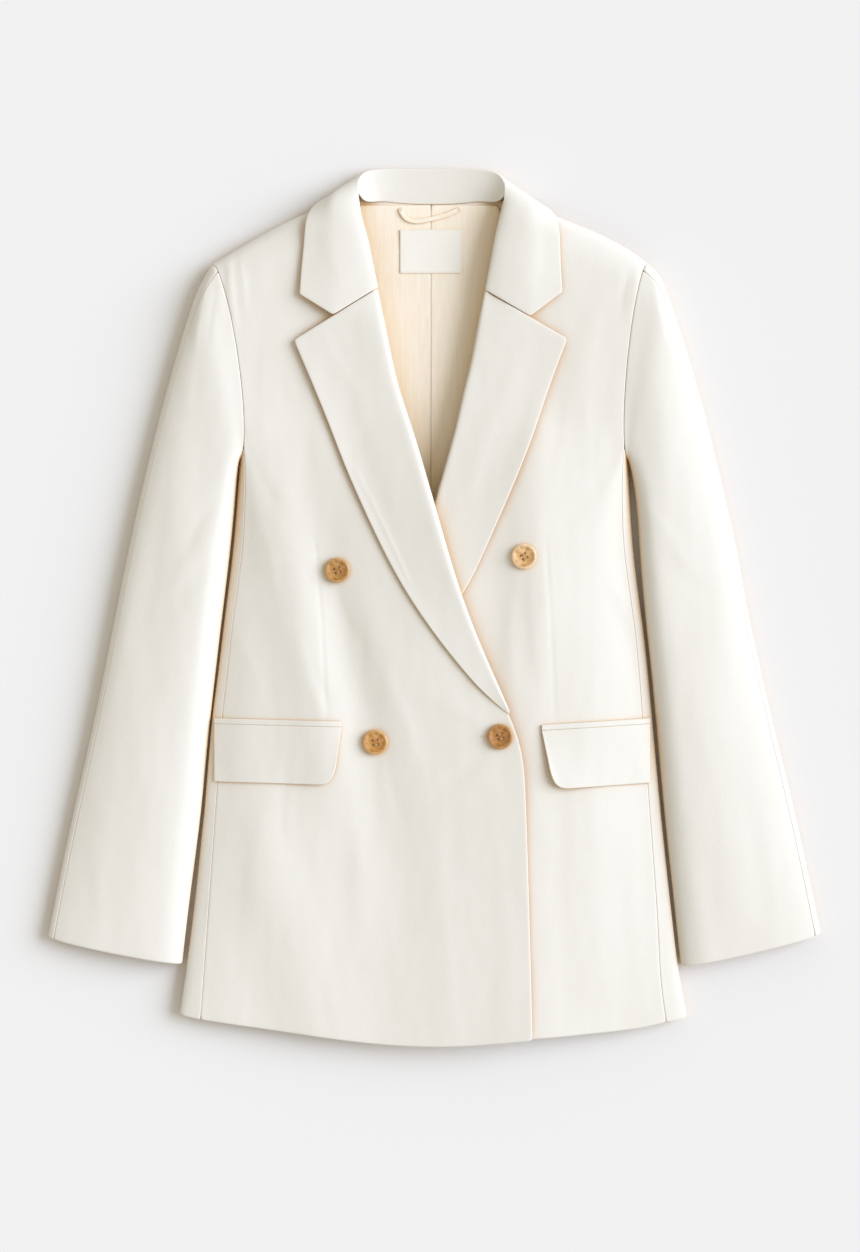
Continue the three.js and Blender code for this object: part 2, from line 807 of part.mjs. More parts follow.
function buildFront(name, half) {
  const inner = innerBoundary(half);
  const shoulder = planCurve(half.shoulder);
  const hem = planCurve(half.hem);
  const grid = panelGrid(
    outerBoundary(half, 'front'),
    inner,
    (across) => shoulder.getPointAt(across),
    (across) => hem.getPointAt(across),
    frontColumns,
  );
  settlePanel(grid, half, frontHeight, 1);
  panelGrids[name] = grid;
  const normalAt = panelNormals(half, 'front', frontColumns);
  addPiece(name, wallFromGrid(grid, clothThickness, half.sign, normalAt), 'cloth');
}

const backNeckY = 351.7;
const backHemY = -376;
const backNeckShare = 0.68;

function buildBack(name, half) {
  const boundary = outerBoundary(half, 'back');
  const corner = boundary.points[boundary.points.length - 1];
  const shoulder = planCurve(half.shoulder);
  const neck = half.shoulder[half.shoulder.length - 1];
  const centreX = centreBackX + half.sign * (seamGap / 2);
  const topLine = (across) => {
    if (across <= backNeckShare) return shoulder.getPointAt(across / backNeckShare);
    const round = (across - backNeckShare) / (1 - backNeckShare);
    return new THREE.Vector3(mix(neck.x, centreX, round), mix(neck.y, backNeckY, smooth(0, 0.5, round)), 0);
  };
  const hemLine = (across) => new THREE.Vector3(
    mix(corner.x, centreX, across),
    mix(corner.y, backHemY, smooth(-0.2, 1, across)),
    0,
  );
  const centreLine = (down) => new THREE.Vector3(centreX, mix(backNeckY, backHemY, down), 0);
  const grid = panelGrid(boundary, centreLine, topLine, hemLine, backColumns);
  settlePanel(grid, half, backHeight, -1);
  const normalAt = panelNormals(half, 'back', backColumns);
  addPiece(name, wallFromGrid(grid, clothThickness, -half.sign, normalAt), 'cloth');
}

// Section of the side panel: from the front seam over the edge to the back seam, its
// points crowding towards the rounded edge
const sideCrowding = { front: 1.6, back: 2.2 };

function sidePanelPoint(half, share, angle) {
  const edge = half.sideEdge;
  const y = mix(edge[0].y, edge[edge.length - 1].y, share);
  const edgeX = readTable(edge, 'y', y, 'x');
  const upper = angle < 180;
  const reach = Math.abs(angle - 180) / (180 - sideArmAngles[0]);
  const seam = sideSeamPoint(half, share, upper ? 'front' : 'back');
  const inset = Math.abs(seam.x - edgeX) * reach ** (upper ? sideCrowding.front : sideCrowding.back);
  const section = new THREE.Vector3(edgeX - half.sign * inset, mix(y, seam.y, reach), 0);
  section.z = upper ? frontHeight(half, section.x, y) : mix(edgeHeight, 0, rollShare(inset, edgeRoll));
  return armholePoint(half, THREE.MathUtils.degToRad(angle)).lerp(section, leaveArmhole(share));
}

function buildSide(name, half) {
  const gap = seamGap / 2;
  const last = sideArmAngles.length - 1;
  const grid = seamShares.map((share) => sideArmAngles.map((angle, i) => {
    const point = sidePanelPoint(half, share, angle);
    if (i === 0 || i === last) point.x += half.sign * gap;
    if (share === 0) point.y -= gap;
    return point;
  }));
  panelGrids[name] = grid;
  const normalAt = (r, c, own) => {
    if (r === 0) return ringNormal(half, THREE.MathUtils.degToRad(sideArmAngles[c]));
    if (c === 0) return seamNormal(half, sideArmAngles[0], seamShares[r], 1);
    if (c === last) return seamNormal(half, sideArmAngles[last], seamShares[r], -1);
    return own;
  };
  addPiece(name, wallFromGrid(grid, clothThickness, -half.sign, normalAt), 'cloth');
}

// Sleeves

const sleeveShares = [0, 0.026, 0.06, 0.13, 0.22, 0.32, 0.42, 0.52, 0.62, 0.72, 0.82, 0.91, 1];

function sleevePoint(half, outer, inner, share, angle) {
  const start = outer.getPointAt(share);
  const end = inner.getPointAt(mix(share, share ** sleeveSkew, 1 - smooth(0, 0.9, share)));
  const across = (1 - Math.cos(angle)) / 2;
  const turn = Math.sin(angle);
  const chordX = end.x - start.x;
  const chordY = end.y - start.y;
  const chord = Math.hypot(chordX, chordY);
  const { frontBow, backBow } = half.armhole;
  const headBow = (turn > 0 ? frontBow : backBow) * (1 - share) ** headFade;
  const bow = (headBow + half.sign * cuffBow * share) * Math.abs(turn);
  const x = start.x + chordX * across - (chordY / chord) * bow;
  const y = start.y + chordY * across + (chordX / chord) * bow;
  const outward = across * chord;
  const inward = (1 - across) * chord;
  const below = smooth(0, 0.2, share);
  const underRadius = mix(edgeRoll, sleeveRoll, below);
  const outerRadius = mix(edgeRoll, chord * half.sleeve.outerShare, below);
  const innerRadius = mix(edgeRoll, mix(sleeveRoll, chord * half.sleeve.innerShare, share), below);
  const middle = mix(edgeHeight, cuffEdgeHeight, share);
  const top = readTable(sleeveHeights, 'along', share, 'top') + foldHeight(x, y);
  const rounded = Math.min(rollShare(outward, outerRadius), rollShare(inward, innerRadius));
  const headRounded = rollShare(Math.min(outward, inward), edgeRoll);
  const head = mix(edgeHeight, frontHeight(half, x, y), headRounded);
  const upper = mix(head, mix(middle, top, rounded), smooth(0, headBlend, share));
  const under = mix(middle, 0, rollShare(Math.min(outward, inward), underRadius));
  return new THREE.Vector3(x, y, turn > 0 ? upper : under);
}

function buildSleeve(half, side) {
  const outer = planCurve(half.sleeve.outer);
  const inner = planCurve(half.sleeve.inner);
  const seamTurn = 0.008;
  const spans = [
    { name: `top_sleeve_${side}`, angles: topSleeveAngles },
    { name: `under_sleeve_${side}`, angles: underSleeveAngles },
  ];
  for (const span of spans) {
    const last = span.angles.length - 1;
    const grid = sleeveShares.map((share) => span.angles.map((degrees, i) => {
      let angle = THREE.MathUtils.degToRad(degrees);
      if (i === 0) angle += seamTurn;
      if (i === last) angle -= seamTurn;
      if (share > 0) return sleevePoint(half, outer, inner, share, angle);
      return armholePoint(half, angle).addScaledVector(ringOutwards(half), half.sign * layerGap);
    }));
    const normalAt = (r, c, own) => {
      const angle = THREE.MathUtils.degToRad(span.angles[c]);
      if (r === 0) return ringNormal(half, angle);
      if (c > 0 && c < last) return own;
      const step = 0.01;
      const share = Math.min(1 - step, Math.max(step, sleeveShares[r]));
      const across = sleevePoint(half, outer, inner, share, angle + step)
        .sub(sleevePoint(half, outer, inner, share, angle - step));
      const along = sleevePoint(half, outer, inner, share + step, angle)
        .sub(sleevePoint(half, outer, inner, share - step, angle));
      return across.cross(along).normalize().multiplyScalar(half.sign);
    };
    addPiece(span.name, wallFromGrid(grid, clothThickness, half.sign, normalAt), 'cloth');
  }
}

// Height of a panel's own facets under a plan point
function facetHeight(grid, x, y) {
  const spot = new THREE.Vector3(x, y, 0);
  const flat = (point) => new THREE.Vector3(point.x, point.y, 0);
  const shares = new THREE.Vector3();
  for (let r = 0; r + 1 < grid.length; r += 1) {
    for (let c = 0; c + 1 < grid[r].length; c += 1) {
      const corners = [grid[r][c], grid[r][c + 1], grid[r + 1][c + 1], grid[r + 1][c]];
      for (const [i, j, k] of [[0, 1, 2], [0, 2, 3]]) {
        const [a, b, d] = [flat(corners[i]), flat(corners[j]), flat(corners[k])];
        const found = THREE.Triangle.getBarycoord(spot, a, b, d, shares);
        if (found && shares.x >= 0 && shares.y >= 0 && shares.z >= 0) {
          return shares.x * corners[i].z + shares.y * corners[j].z + shares.z * corners[k].z;
        }
      }
    }
  }
  return -Infinity;
}

// Lapels: out of the roll line, half round the roll and back over the front

const lapelEndY = -83;
const lapelClearance = 1;
const lapelSettle = 0.25;
const rollTurns = [-90, -50, 0, 45, 90];
const lapelOuts = [0.14, 0.34, 0.56, 0.78, 1];

function lapelRow(half, panel, fold, tip, share) {
  const radius = rollRadiusAt(half, fold.y);
  const toEdge = new THREE.Vector3(tip.x - fold.x, tip.y - fold.y, 0);
  const width = toEdge.length();
  toEdge.normalize();
  const centre = fold.clone().addScaledVector(toEdge, radius);
  const face = frontHeight(half, centre.x, centre.y);
  const row = rollTurns.map((degrees) => {
    const angle = THREE.MathUtils.degToRad(degrees);
    const point = centre.clone().addScaledVector(toEdge, -radius * Math.cos(angle));
    point.z = face - clothThickness + radius * (1 + Math.sin(angle));
    return point;
  });
  for (const out of lapelOuts) {
    const point = centre.clone().addScaledVector(toEdge, (width - radius) * out);
    const edgeRise = clothThickness + lapelClearance + half.lapelLift * (1 - share) ** half.lapelFade;
    const rise = mix(edgeRise, 2 * radius - clothThickness, (1 - out) ** half.rollSpring);
    const below = Math.max(frontHeight(half, point.x, point.y), facetHeight(panel, point.x, point.y));
    point.z = mix(face, below, smooth(0, lapelSettle, out)) + rise;
    row.push(point);
  }
  return row;
}

// The lapel's rows are the front's own, so that their seam follows the same points
function buildLapel(side, half) {
  const panel = panelGrids[`front_${side}`];
  const rollCurve = planCurve(half.roll);
  const edge = planCurve(half.lapelEdge);
  const shareAtHeight = (y) => {
    let low = 0;
    let high = 1;
    for (let i = 0; i < 40; i += 1) {
      const middle = (low + high) / 2;
      if (rollCurve.getPointAt(middle).y > y) low = middle;
      else high = middle;
    }
    return low;
  };
  const start = shareAtHeight(half.gorgeY);
  const end = shareAtHeight(lapelEndY);
  const clear = 0.008;
  const rowShares = outerBoundary(half, 'front').shares;
  const inside = rowShares.filter((share) => share > start + clear && share < end - clear);
  const shares = [start, ...inside, end];
  const grid = shares.map((share) => {
    const down = (share - start) / (end - start);
    return lapelRow(half, panel, rollCurve.getPointAt(share), edge.getPointAt(down), down);
  });
  const normalAt = (r, c, own) => {
    if (c === 0) return new THREE.Vector3(0, 0, -1);
    return r === 0 ? alongPlane(own, grid[0][0], grid[0][grid[0].length - 1]) : own;
  };
  addPiece(`lapel_${side}`, wallFromGrid(grid, clothThickness, -half.sign, normalAt), 'cloth');
}

// Collar

// Section of the leaf: out of the fold, upright unless its station turns it aside, over to
// the middle point, then straight to the free edge
const collarTurns = [0, 0.07, 0.17, 0.32, 0.5, 0.66, 0.83, 1];

function collarSection(station, share) {
  const fold = new THREE.Vector3(...station.fold);
  const middle = new THREE.Vector3(...station.middle);
  const edge = new THREE.Vector3(...station.edge);
  if (share >= 0.5) return middle.lerp(edge, share * 2 - 1);
  const turn = new THREE.Vector3(...(station.turn ?? [fold.x, fold.y, middle.z]));
  return new THREE.QuadraticBezierCurve3(fold, turn, middle).getPoint(share * 2);
}

function buildCollar() {
  const lines = collarTurns.map((turn) => {
    const points = collarStations.map((station) => collarSection(station, turn));
    return new THREE.CatmullRomCurve3(points, false, 'centripetal');
  });
  const rows = 27;
  const columns = collarTurns.length - 1;
  const grid = gridOf(rows, columns, (share, across) => {
    const point = lines[Math.round(across * columns)].getPoint(share);
    point.z = Math.max(0, point.z);
    return point;
  });
  const gorgePoint = collarTurns.indexOf(0.5);
  const normalAt = (r, c, own) => {
    if (r > 0 && r < rows) return own;
    if (c > gorgePoint) return own;
    return alongPlane(own, grid[r][0], grid[r][gorgePoint]);
  };
  addPiece('collar_leaf', wallFromGrid(grid, clothThickness, -1, normalAt), 'cloth');
}

function buildStand() {
  const lineThrough = (column) => {
    const points = standStations.map((station) => new THREE.Vector3(...station[column]));
    return new THREE.CatmullRomCurve3(points, false, 'centripetal');
  };
  const foldLine = lineThrough('fold');
  const seamLine = lineThrough('seam');
  const grid = gridOf(12, 3, (share, across) => {
    return foldLine.getPoint(share).lerp(seamLine.getPoint(share), across);
  });
  addPiece('collar_stand', wallFromGrid(grid, clothThickness, 1), 'cloth');
}

// Lining, label and hanger loop

function liningHeight(x, y) {
  return neckLift(x, y) + clothThickness + layerGap + liningThickness;
}

function buildLining(name, sign, column) {
  const grid = gridOf(10, 4, (down, across) => {
    const y = mix(liningWidths[0].y, liningWidths[liningWidths.length - 1].y, down);
    const half = readTable(liningWidths, 'y', y, column);
    const x = centreBackX + sign * mix(seamGap / 2, half, across);
    return new THREE.Vector3(x, y, liningHeight(x, y));
  });
  addPiece(name, wallFromGrid(grid, liningThickness, -sign), 'lining');
}

function buildLabel() {
  const { x, y, width, height, thickness } = labelSize;
  const grid = gridOf(4, 4, (down, across) => {
    const px = x + width * (across - 0.5);
    const py = y + height * (0.5 - down);
    return new THREE.Vector3(px, py, liningHeight(px, py) + layerGap + thickness);
  });
  addPiece('neck_label', wallFromGrid(grid, thickness, -1), 'label');
}

function buildLoop() {
  const path = planCurve(hangerLoop);
  const grid = gridOf(12, 1, (along, across) => {
    const point = path.getPointAt(along);
    const tangent = path.getTangentAt(along);
    const x = point.x + tangent.y * loopWidth * (0.5 - across);
    const y = point.y - tangent.x * loopWidth * (0.5 - across);
    return new THREE.Vector3(x, y, liningHeight(x, y) + layerGap + liningThickness);
  });
  addPiece('hanger_loop', wallFromGrid(grid, liningThickness, -1), 'lining');
}

// Pockets

// A point moved out from the front and side panels along the garment's own normal
function movedOut(half, side, x, y, distance) {
  const step = 0.5;
  const slopeX = (frontHeight(half, x + step, y) - frontHeight(half, x - step, y)) / (2 * step);
  const slopeY = (frontHeight(half, x, y + step) - frontHeight(half, x, y - step)) / (2 * step);
  const normal = new THREE.Vector3(-slopeX, -slopeY, 1).normalize();
  const height = Math.max(
    frontHeight(half, x, y),
    facetHeight(panelGrids[`front_${side}`], x, y),
    facetHeight(panelGrids[`side_${side}`], x, y),
  );
  return new THREE.Vector3(x, y, height).addScaledVector(normal, distance);
}

// Columns closer together towards the rounded side edge and at the flap's corner
const flapCrowding = { side: 1.8, corner: 1.4 };

function flapShare(share) {
  return share < 0.5
    ? 0.5 * (2 * share) ** flapCrowding.side
    : 1 - 0.5 * (2 - 2 * share) ** flapCrowding.corner;
}

function buildPocket(half, side) {
  const pocket = pockets[side];
  const topPoint = (across) => ({
    x: mix(pocket.sideX, pocket.frontX, across),
    y: mix(pocket.sideY, pocket.frontY, across),
  });
  const lift = pocketGap + clothThickness;
  const length = Math.hypot(pocket.frontX - pocket.sideX, pocket.frontY - pocket.sideY);
  const flap = gridOf(5, 14, (down, share) => {
    const across = flapShare(share);
    const top = topPoint(across);
    const fromCorner = (1 - across) * length;
    const short = fromCorner < pocket.corner
      ? pocket.corner - Math.sqrt(pocket.corner ** 2 - (pocket.corner - fromCorner) ** 2)
      : 0;
    const drop = (pocket.depth - short) * down;
    const stand = pocket.lift * down * smooth(flapStand.from, flapStand.to, across);
    return movedOut(half, side, top.x + pocket.lean * down * across, top.y - drop, lift + stand);
  });
  addPiece(`pocket_flap_${side}`, wallFromGrid(flap, clothThickness, half.sign), 'cloth');
  const welt = gridOf(1, 12, (down, share) => {
    const top = topPoint(flapShare(share));
    return movedOut(half, side, top.x, top.y + seamGap + weltHeight * (1 - down), lift);
  });
  addPiece(`pocket_welt_${side}`, wallFromGrid(welt, clothThickness, half.sign), 'cloth');
}

// Buttons

function solidOf(geometry) {
  const bare = geometry.clone();
  bare.deleteAttribute('normal');
  bare.deleteAttribute('uv');
  const merged = mergeVertices(bare, 1e-4);
  return new wasm.Manifold(new wasm.Mesh({
    numProp: 3,
    vertProperties: new Float32Array(merged.attributes.position.array),
    triVerts: new Uint32Array(merged.index.array),
  }));
}

function geometryOf(solid) {
  const mesh = solid.getMesh();
  const geometry = new THREE.BufferGeometry();
  geometry.setAttribute('position', new THREE.BufferAttribute(mesh.vertProperties, 3));
  geometry.setIndex(new THREE.BufferAttribute(mesh.triVerts, 1));
  geometry.computeVertexNormals();
  return geometry;
}

function buttonSolid() {
  const radius = buttonDiameter / 2;
  const profile = [
    new THREE.Vector2(0, 0),
    ...buttonSection.map((row) => new THREE.Vector2(radius - row.inset, row.height)),
    new THREE.Vector2(0, dishBottom),
  ];
  const disc = new THREE.LatheGeometry(profile, buttonSides);
  disc.rotateX(Math.PI / 2);
  let solid = solidOf(disc);
  const reach = holeSpread / 2;
  for (const [x, y] of [[reach, reach], [-reach, reach], [-reach, -reach], [reach, -reach]]) {
    const bore = holeDiameter / 2;
    const hole = new THREE.CylinderGeometry(bore, bore, buttonThickness * 3, holeSides);
    hole.rotateX(Math.PI / 2);
    hole.translate(x, y, 0);
    solid = solid.subtract(solidOf(hole));
  }
  return geometryOf(solid);
}

// A button lies along the slope of the cloth, on the highest point beneath it
function buildButton(button, geometry) {
  const half = button.layer === 'over' ? halves.right : halves.left;
  const reach = buttonDiameter / 2;
  const heightAt = (x, y) => frontHeight(half, x, y);
  const riseX = heightAt(button.x + reach, button.y) - heightAt(button.x - reach, button.y);
  const riseY = heightAt(button.x, button.y + reach) - heightAt(button.x, button.y - reach);
  const axis = new THREE.Vector3(-riseX, -riseY, 2 * reach).normalize();
  const centre = new THREE.Vector3(button.x, button.y, heightAt(button.x, button.y));
  let seat = 0;
  const steps = 16;
  for (let i = 0; i < steps; i += 1) {
    const angle = (i / steps) * Math.PI * 2;
    for (const radius of [reach / 2, reach]) {
      const x = button.x + radius * Math.cos(angle);
      const y = button.y + radius * Math.sin(angle);
      seat = Math.max(seat, new THREE.Vector3(x, y, heightAt(x, y)).sub(centre).dot(axis));
    }
  }
  const mesh = new THREE.Mesh(geometry, new THREE.MeshStandardMaterial(finishes.horn));
  mesh.name = button.name;
  mesh.position.copy(centre.addScaledVector(axis, seat + layerGap));
  mesh.quaternion.setFromUnitVectors(new THREE.Vector3(0, 0, 1), axis);
  garment.add(mesh);
}

buildBack('back_right', halves.right);
buildBack('back_left', halves.left);
buildSide('side_right', halves.right);
buildSide('side_left', halves.left);
buildFront('front_left', halves.left);
buildFront('front_right', halves.right);
buildLapel('left', halves.left);
buildLapel('right', halves.right);
buildCollar();
buildStand();
buildLining('lining_right', -1, 'right');
buildLining('lining_left', 1, 'left');
buildLabel();
buildLoop();
buildSleeve(halves.right, 'right');
buildSleeve(halves.left, 'left');
buildPocket(halves.right, 'right');
buildPocket(halves.left, 'left');
const buttonShape = buttonSolid();
for (const button of buttons) {
  buildButton(button, buttonShape);
}

// The origin goes on the surface, under the middle of the whole outline
garment.updateMatrixWorld(true);
const outline = new THREE.Box3().setFromObject(garment, true);
const middle = outline.getCenter(new THREE.Vector3());
garment.position.set(-middle.x, -middle.y, 0);

export default garment;
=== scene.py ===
import math

import bmesh
import bpy
import numpy as np
from mathutils import Matrix, Vector, noise


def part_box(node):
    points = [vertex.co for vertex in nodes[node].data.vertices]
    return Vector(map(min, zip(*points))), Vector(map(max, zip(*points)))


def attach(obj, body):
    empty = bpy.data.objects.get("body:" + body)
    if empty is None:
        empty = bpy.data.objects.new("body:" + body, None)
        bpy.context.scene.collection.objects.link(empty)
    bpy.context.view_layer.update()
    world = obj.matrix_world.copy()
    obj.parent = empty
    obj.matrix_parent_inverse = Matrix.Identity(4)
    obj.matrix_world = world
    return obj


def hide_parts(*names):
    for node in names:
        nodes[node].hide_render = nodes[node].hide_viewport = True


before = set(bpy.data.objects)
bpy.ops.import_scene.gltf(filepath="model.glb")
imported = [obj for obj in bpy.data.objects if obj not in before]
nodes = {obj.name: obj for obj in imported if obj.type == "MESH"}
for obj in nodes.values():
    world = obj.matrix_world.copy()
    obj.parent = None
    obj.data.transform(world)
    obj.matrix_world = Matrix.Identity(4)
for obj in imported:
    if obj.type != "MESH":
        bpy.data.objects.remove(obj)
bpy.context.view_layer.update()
mm = 0.001
print("stage: the packed blazer is loaded, with", len(nodes), "nodes")

# Camera straight above, on a long lens, at the photograph's framing
camera = {
    "distance": 3.2,
    "focusHeight": 0.018,
    "centreX": -0.0038,
    "centreY": -0.0168,
    "frameHeight": 1.0892,
    "sensor": 36.0,
}

# Soft studio light: a wide low key from the right and an even, warmer fill from all round
studio = {
    "keyElevation": 31,
    "keyTurn": 12,
    "keyAngle": 46,
    "keyDistance": 3,
    "keyStrength": 3.15,
    "keyColour": (0.98, 1.045, 1.205),
    "fillStrength": 0.60,
    "fillColour": (1.0, 0.942, 0.81),
}


def linked(name, data):
    holder = bpy.data.objects.new(name, data)
    bpy.context.scene.collection.objects.link(holder)
    return holder


def setCamera(sizes):
    lens = bpy.data.cameras.new("overhead_camera")
    lens.sensor_width = sizes["sensor"]
    lens.lens = sizes["sensor"] * sizes["distance"] / sizes["frameHeight"]
    holder = linked("overhead_camera", lens)
    height = sizes["focusHeight"] + sizes["distance"]
    holder.location = (sizes["centreX"], sizes["centreY"], height)
    bpy.context.scene.camera = holder


def setLights(sizes):
    turn, rise = math.radians(sizes["keyTurn"]), math.radians(sizes["keyElevation"])
    level = math.cos(rise)
    towards = Vector((level * math.cos(turn), level * math.sin(turn), math.sin(rise)))
    key = bpy.data.lights.new("key_light", "SUN")
    key.energy = sizes["keyStrength"]
    key.angle = math.radians(sizes["keyAngle"])
    key.color = sizes["keyColour"]
    holder = linked("key_light", key)
    holder.location = towards * sizes["keyDistance"]
    holder.rotation_euler = towards.to_track_quat("Z", "Y").to_euler()
    world = bpy.data.worlds.new("studio")
    world.use_nodes = True
    background = world.node_tree.nodes["Background"]
    background.inputs["Color"].default_value = (*sizes["fillColour"], 1)
    background.inputs["Strength"].default_value = sizes["fillStrength"]
    bpy.context.scene.world = world
    bpy.context.scene.view_settings.view_transform = "Standard"


# Shader maths: a wrapped socket, whose sums add their own Math nodes
class Flow:
    def __init__(self, tree, socket=None):
        self.tree = tree
        self.socket = socket

    def node(self, kind, settings=None, inputs=None, output=0):
        made = self.tree.nodes.new("ShaderNode" + kind)
        for name, value in (settings or {}).items():
            if name == "stops":
                ramp = made.color_ramp.elements
                while len(ramp) < len(value):
                    ramp.new(0.5)
                for element, (place, colour) in zip(ramp, value):
                    element.position = place
                    element.color = (*colour, 1)
            else:
                setattr(made, name, value)
        for name, value in (inputs or {}).items():
            if isinstance(value, Flow):
                self.tree.links.new(value.socket, made.inputs[name])
            else:
                made.inputs[name].default_value = value
        return Flow(self.tree, made.outputs[output])

    def maths(self, operation, *values):
        return self.node("Math", {"operation": operation}, dict(enumerate(values)))

    def __add__(self, other):
        return self.maths("ADD", self, other)

    def __mul__(self, other):
        return self.maths("MULTIPLY", self, other)

    def __truediv__(self, other):
        return self.maths("DIVIDE", self, other)

    __radd__ = __add__
    __rmul__ = __mul__

    def wave(self):
        return self.maths("SINE", self * math.tau) * 0.5 + 0.5

    def between(self, low, high):
        made = {"interpolation_type": "SMOOTHSTEP"}
        return self.node("MapRange", made, {"Value": self, "From Min": low, "From Max": high})

    def tint(self, first, second):
        # the wrapped socket is the share of the second colour
        start = first if isinstance(first, Flow) else (*first, 1)
        return self.node("Mix", {"data_type": "RGBA"}, {0: self, 6: start, 7: (*second, 1)}, 2)

    def part(self, axis):
        return self.node("SeparateXYZ", None, {0: self}, axis)

    def stretched(self, share):
        return self.node("Mapping", None, {"Vector": self, "Scale": (1, share, 1)})

    def clouds(self, scale, detail, **more):
        inputs = {"Vector": self, "Scale": scale, "Detail": detail, **more}
        return self.node("TexNoise", None, inputs)

    def bump(self, sizes):
        inputs = {"Strength": sizes["bump"], "Distance": sizes["relief"], "Height": self}
        return self.node("Bump", None, inputs)

    def withPaintedShade(self, sizes):
        # painted shade: the wrapped colour is multiplied by a warm tint where ambient occlusion
        # finds little open space, as in recesses, under edges and between parts
        reach = {"Distance": sizes["paintedShadeReach"]}
        openness = self.node("AmbientOcclusion", {"samples": 6}, reach, 1)
        shade = openness.between(*sizes["paintedShadeRange"]).tint(sizes["paintedShade"], (1, 1, 1))
        blend = {"data_type": "RGBA", "blend_type": "MULTIPLY"}
        return self.node("Mix", blend, {0: 1.0, 6: self, 7: shade}, 2)


def newMaterial(name):
    material = bpy.data.materials.new(name)
    material.use_nodes = True
    material.node_tree.nodes.clear()
    return material, Flow(material.node_tree)


def finishMaterial(material, flow, fixed, colour, roughness, normal=None, coat=None):
    inputs = dict(fixed)
    inputs["Base Color"] = colour
    inputs["Roughness"] = roughness
    if normal is not None:
        inputs["Normal"] = normal
    if coat is not None:
        inputs["Coat Weight"] = coat
    shader = flow.node("BsdfPrincipled", None, inputs)
    output = material.node_tree.nodes.new("ShaderNodeOutputMaterial")
    material.node_tree.links.new(shader.socket, output.inputs["Surface"])
    return material


# Fine twill of the outer cloth, on the grain map of each piece
suiting = {
    "cream": (0.79, 0.772, 0.724),
    "slub": (0.762, 0.742, 0.686),
    "toneRange": (0.30, 0.72),
    # painted shade: the warm tint multiplied in where occlusion closes the cloth in, with its
    # reach and openness range
    "paintedShade": (0.95, 0.65, 0.33),
    "paintedShadeReach": 24 * mm,
    "paintedShadeRange": (0.22, 0.95),
    "twillPitch": 0.62 * mm,
    "yarnPitch": 0.42 * mm,
    "slubStretch": 0.12,
    "slubScale": 900.0,
    "cloudScale": 14.0,
    "fuzzScale": 2600.0,
    "bump": 0.16,
    "relief": 0.12 * mm,
    "rough": 0.80,
    "roughSpread": 0.12,
    "surface": {
        "Sheen Weight": 0.18,
        "Sheen Roughness": 0.42,
        "Sheen Tint": (1.0, 0.98, 0.94, 1),
        "Specular IOR Level": 0.22,
    },
}


def suitingMaterial(sizes):
    material, flow = newMaterial("cream_suiting")
    grain = flow.node("UVMap", {"uv_map": "grain"})
    across, along = grain.part(0), grain.part(1)
    twill = ((across + along) / sizes["twillPitch"]).wave()
    yarn = (across / sizes["yarnPitch"]).wave()
    slub = grain.stretched(sizes["slubStretch"]).clouds(sizes["slubScale"], 3.0)
    cloud = grain.clouds(sizes["cloudScale"], 4.0, Roughness=0.6)
    fuzz = grain.clouds(sizes["fuzzScale"], 2.0)
    tone = slub * 0.5 + cloud * 0.35 + twill * 0.15
    cream = tone.between(*sizes["toneRange"]).tint(sizes["slub"], sizes["cream"])
    normal = (twill * 0.55 + yarn * 0.2 + fuzz * 0.5 + slub * 0.6).bump(sizes)
    rough = sizes["rough"] + fuzz * sizes["roughSpread"]
    # the cloth colour takes painted shade in its recesses
    return finishMaterial(material, flow, sizes["surface"], cream.withPaintedShade(sizes), rough, normal)


# Satin of the lining and the hanger loop
satin = {
    "light": (0.930, 0.860, 0.745),
    "warm": (0.905, 0.805, 0.665),
    "toneRange": (0.3, 0.7),
    # painted shade: the warm tint multiplied in where occlusion closes the satin in, with its
    # reach and openness range
    "paintedShade": (1.0, 0.79, 0.44),
    "paintedShadeReach": 45 * mm,
    "paintedShadeRange": (0.15, 0.95),
    "yarnPitch": 0.3 * mm,
    "streakStretch": 0.08,
    "streakScale": 420.0,
    "bump": 0.12,
    "relief": 0.06 * mm,
    "rough": 0.36,
    "roughSpread": 0.12,
    "surface": {"Sheen Weight": 0.25, "Sheen Roughness": 0.3, "Specular IOR Level": 0.4},
}


def satinMaterial(sizes):
    material, flow = newMaterial("cream_satin")
    grain = flow.node("UVMap", {"uv_map": "grain"})
    streak = grain.stretched(sizes["streakStretch"]).clouds(sizes["streakScale"], 4.0)
    yarn = (grain.part(0) / sizes["yarnPitch"]).wave()
    plain = streak.between(*sizes["toneRange"]).tint(sizes["warm"], sizes["light"])
    normal = (yarn * 0.4 + streak).bump(sizes)
    rough = sizes["rough"] + streak * sizes["roughSpread"]
    # the satin colour takes painted shade in its recesses
    return finishMaterial(material, flow, sizes["surface"], plain.withPaintedShade(sizes), rough, normal)


# Blank woven label, with fine cross ribs
labelCloth = {
    "white": (0.90, 0.885, 0.835),
    "rib": (0.86, 0.84, 0.78),
    "toneRange": (0.2, 0.8),
    "ribPitch": 0.5 * mm,
    "yarnPitch": 0.3 * mm,
    "cloudScale": 60.0,
    "bump": 0.2,
    "relief": 0.08 * mm,
    "rough": 0.55,
    "roughSpread": 0.1,
    "surface": {"Sheen Weight": 0.1, "Specular IOR Level": 0.3},
}


def labelMaterial(sizes):
    material, flow = newMaterial("woven_label")
    grain = flow.node("UVMap", {"uv_map": "grain"})
    rib = (grain.part(1) / sizes["ribPitch"]).wave()
    yarn = (grain.part(0) / sizes["yarnPitch"]).wave()
    cloud = grain.clouds(sizes["cloudScale"], 3.0)
    tone = (rib * 0.5 + cloud * 0.5).between(*sizes["toneRange"])
    colour = tone.tint(sizes["rib"], sizes["white"])
    normal = (rib * 0.7 + yarn * 0.4).bump(sizes)
    rough = sizes["rough"] + cloud * sizes["roughSpread"]
    return finishMaterial(material, flow, sizes["surface"], colour, rough, normal)


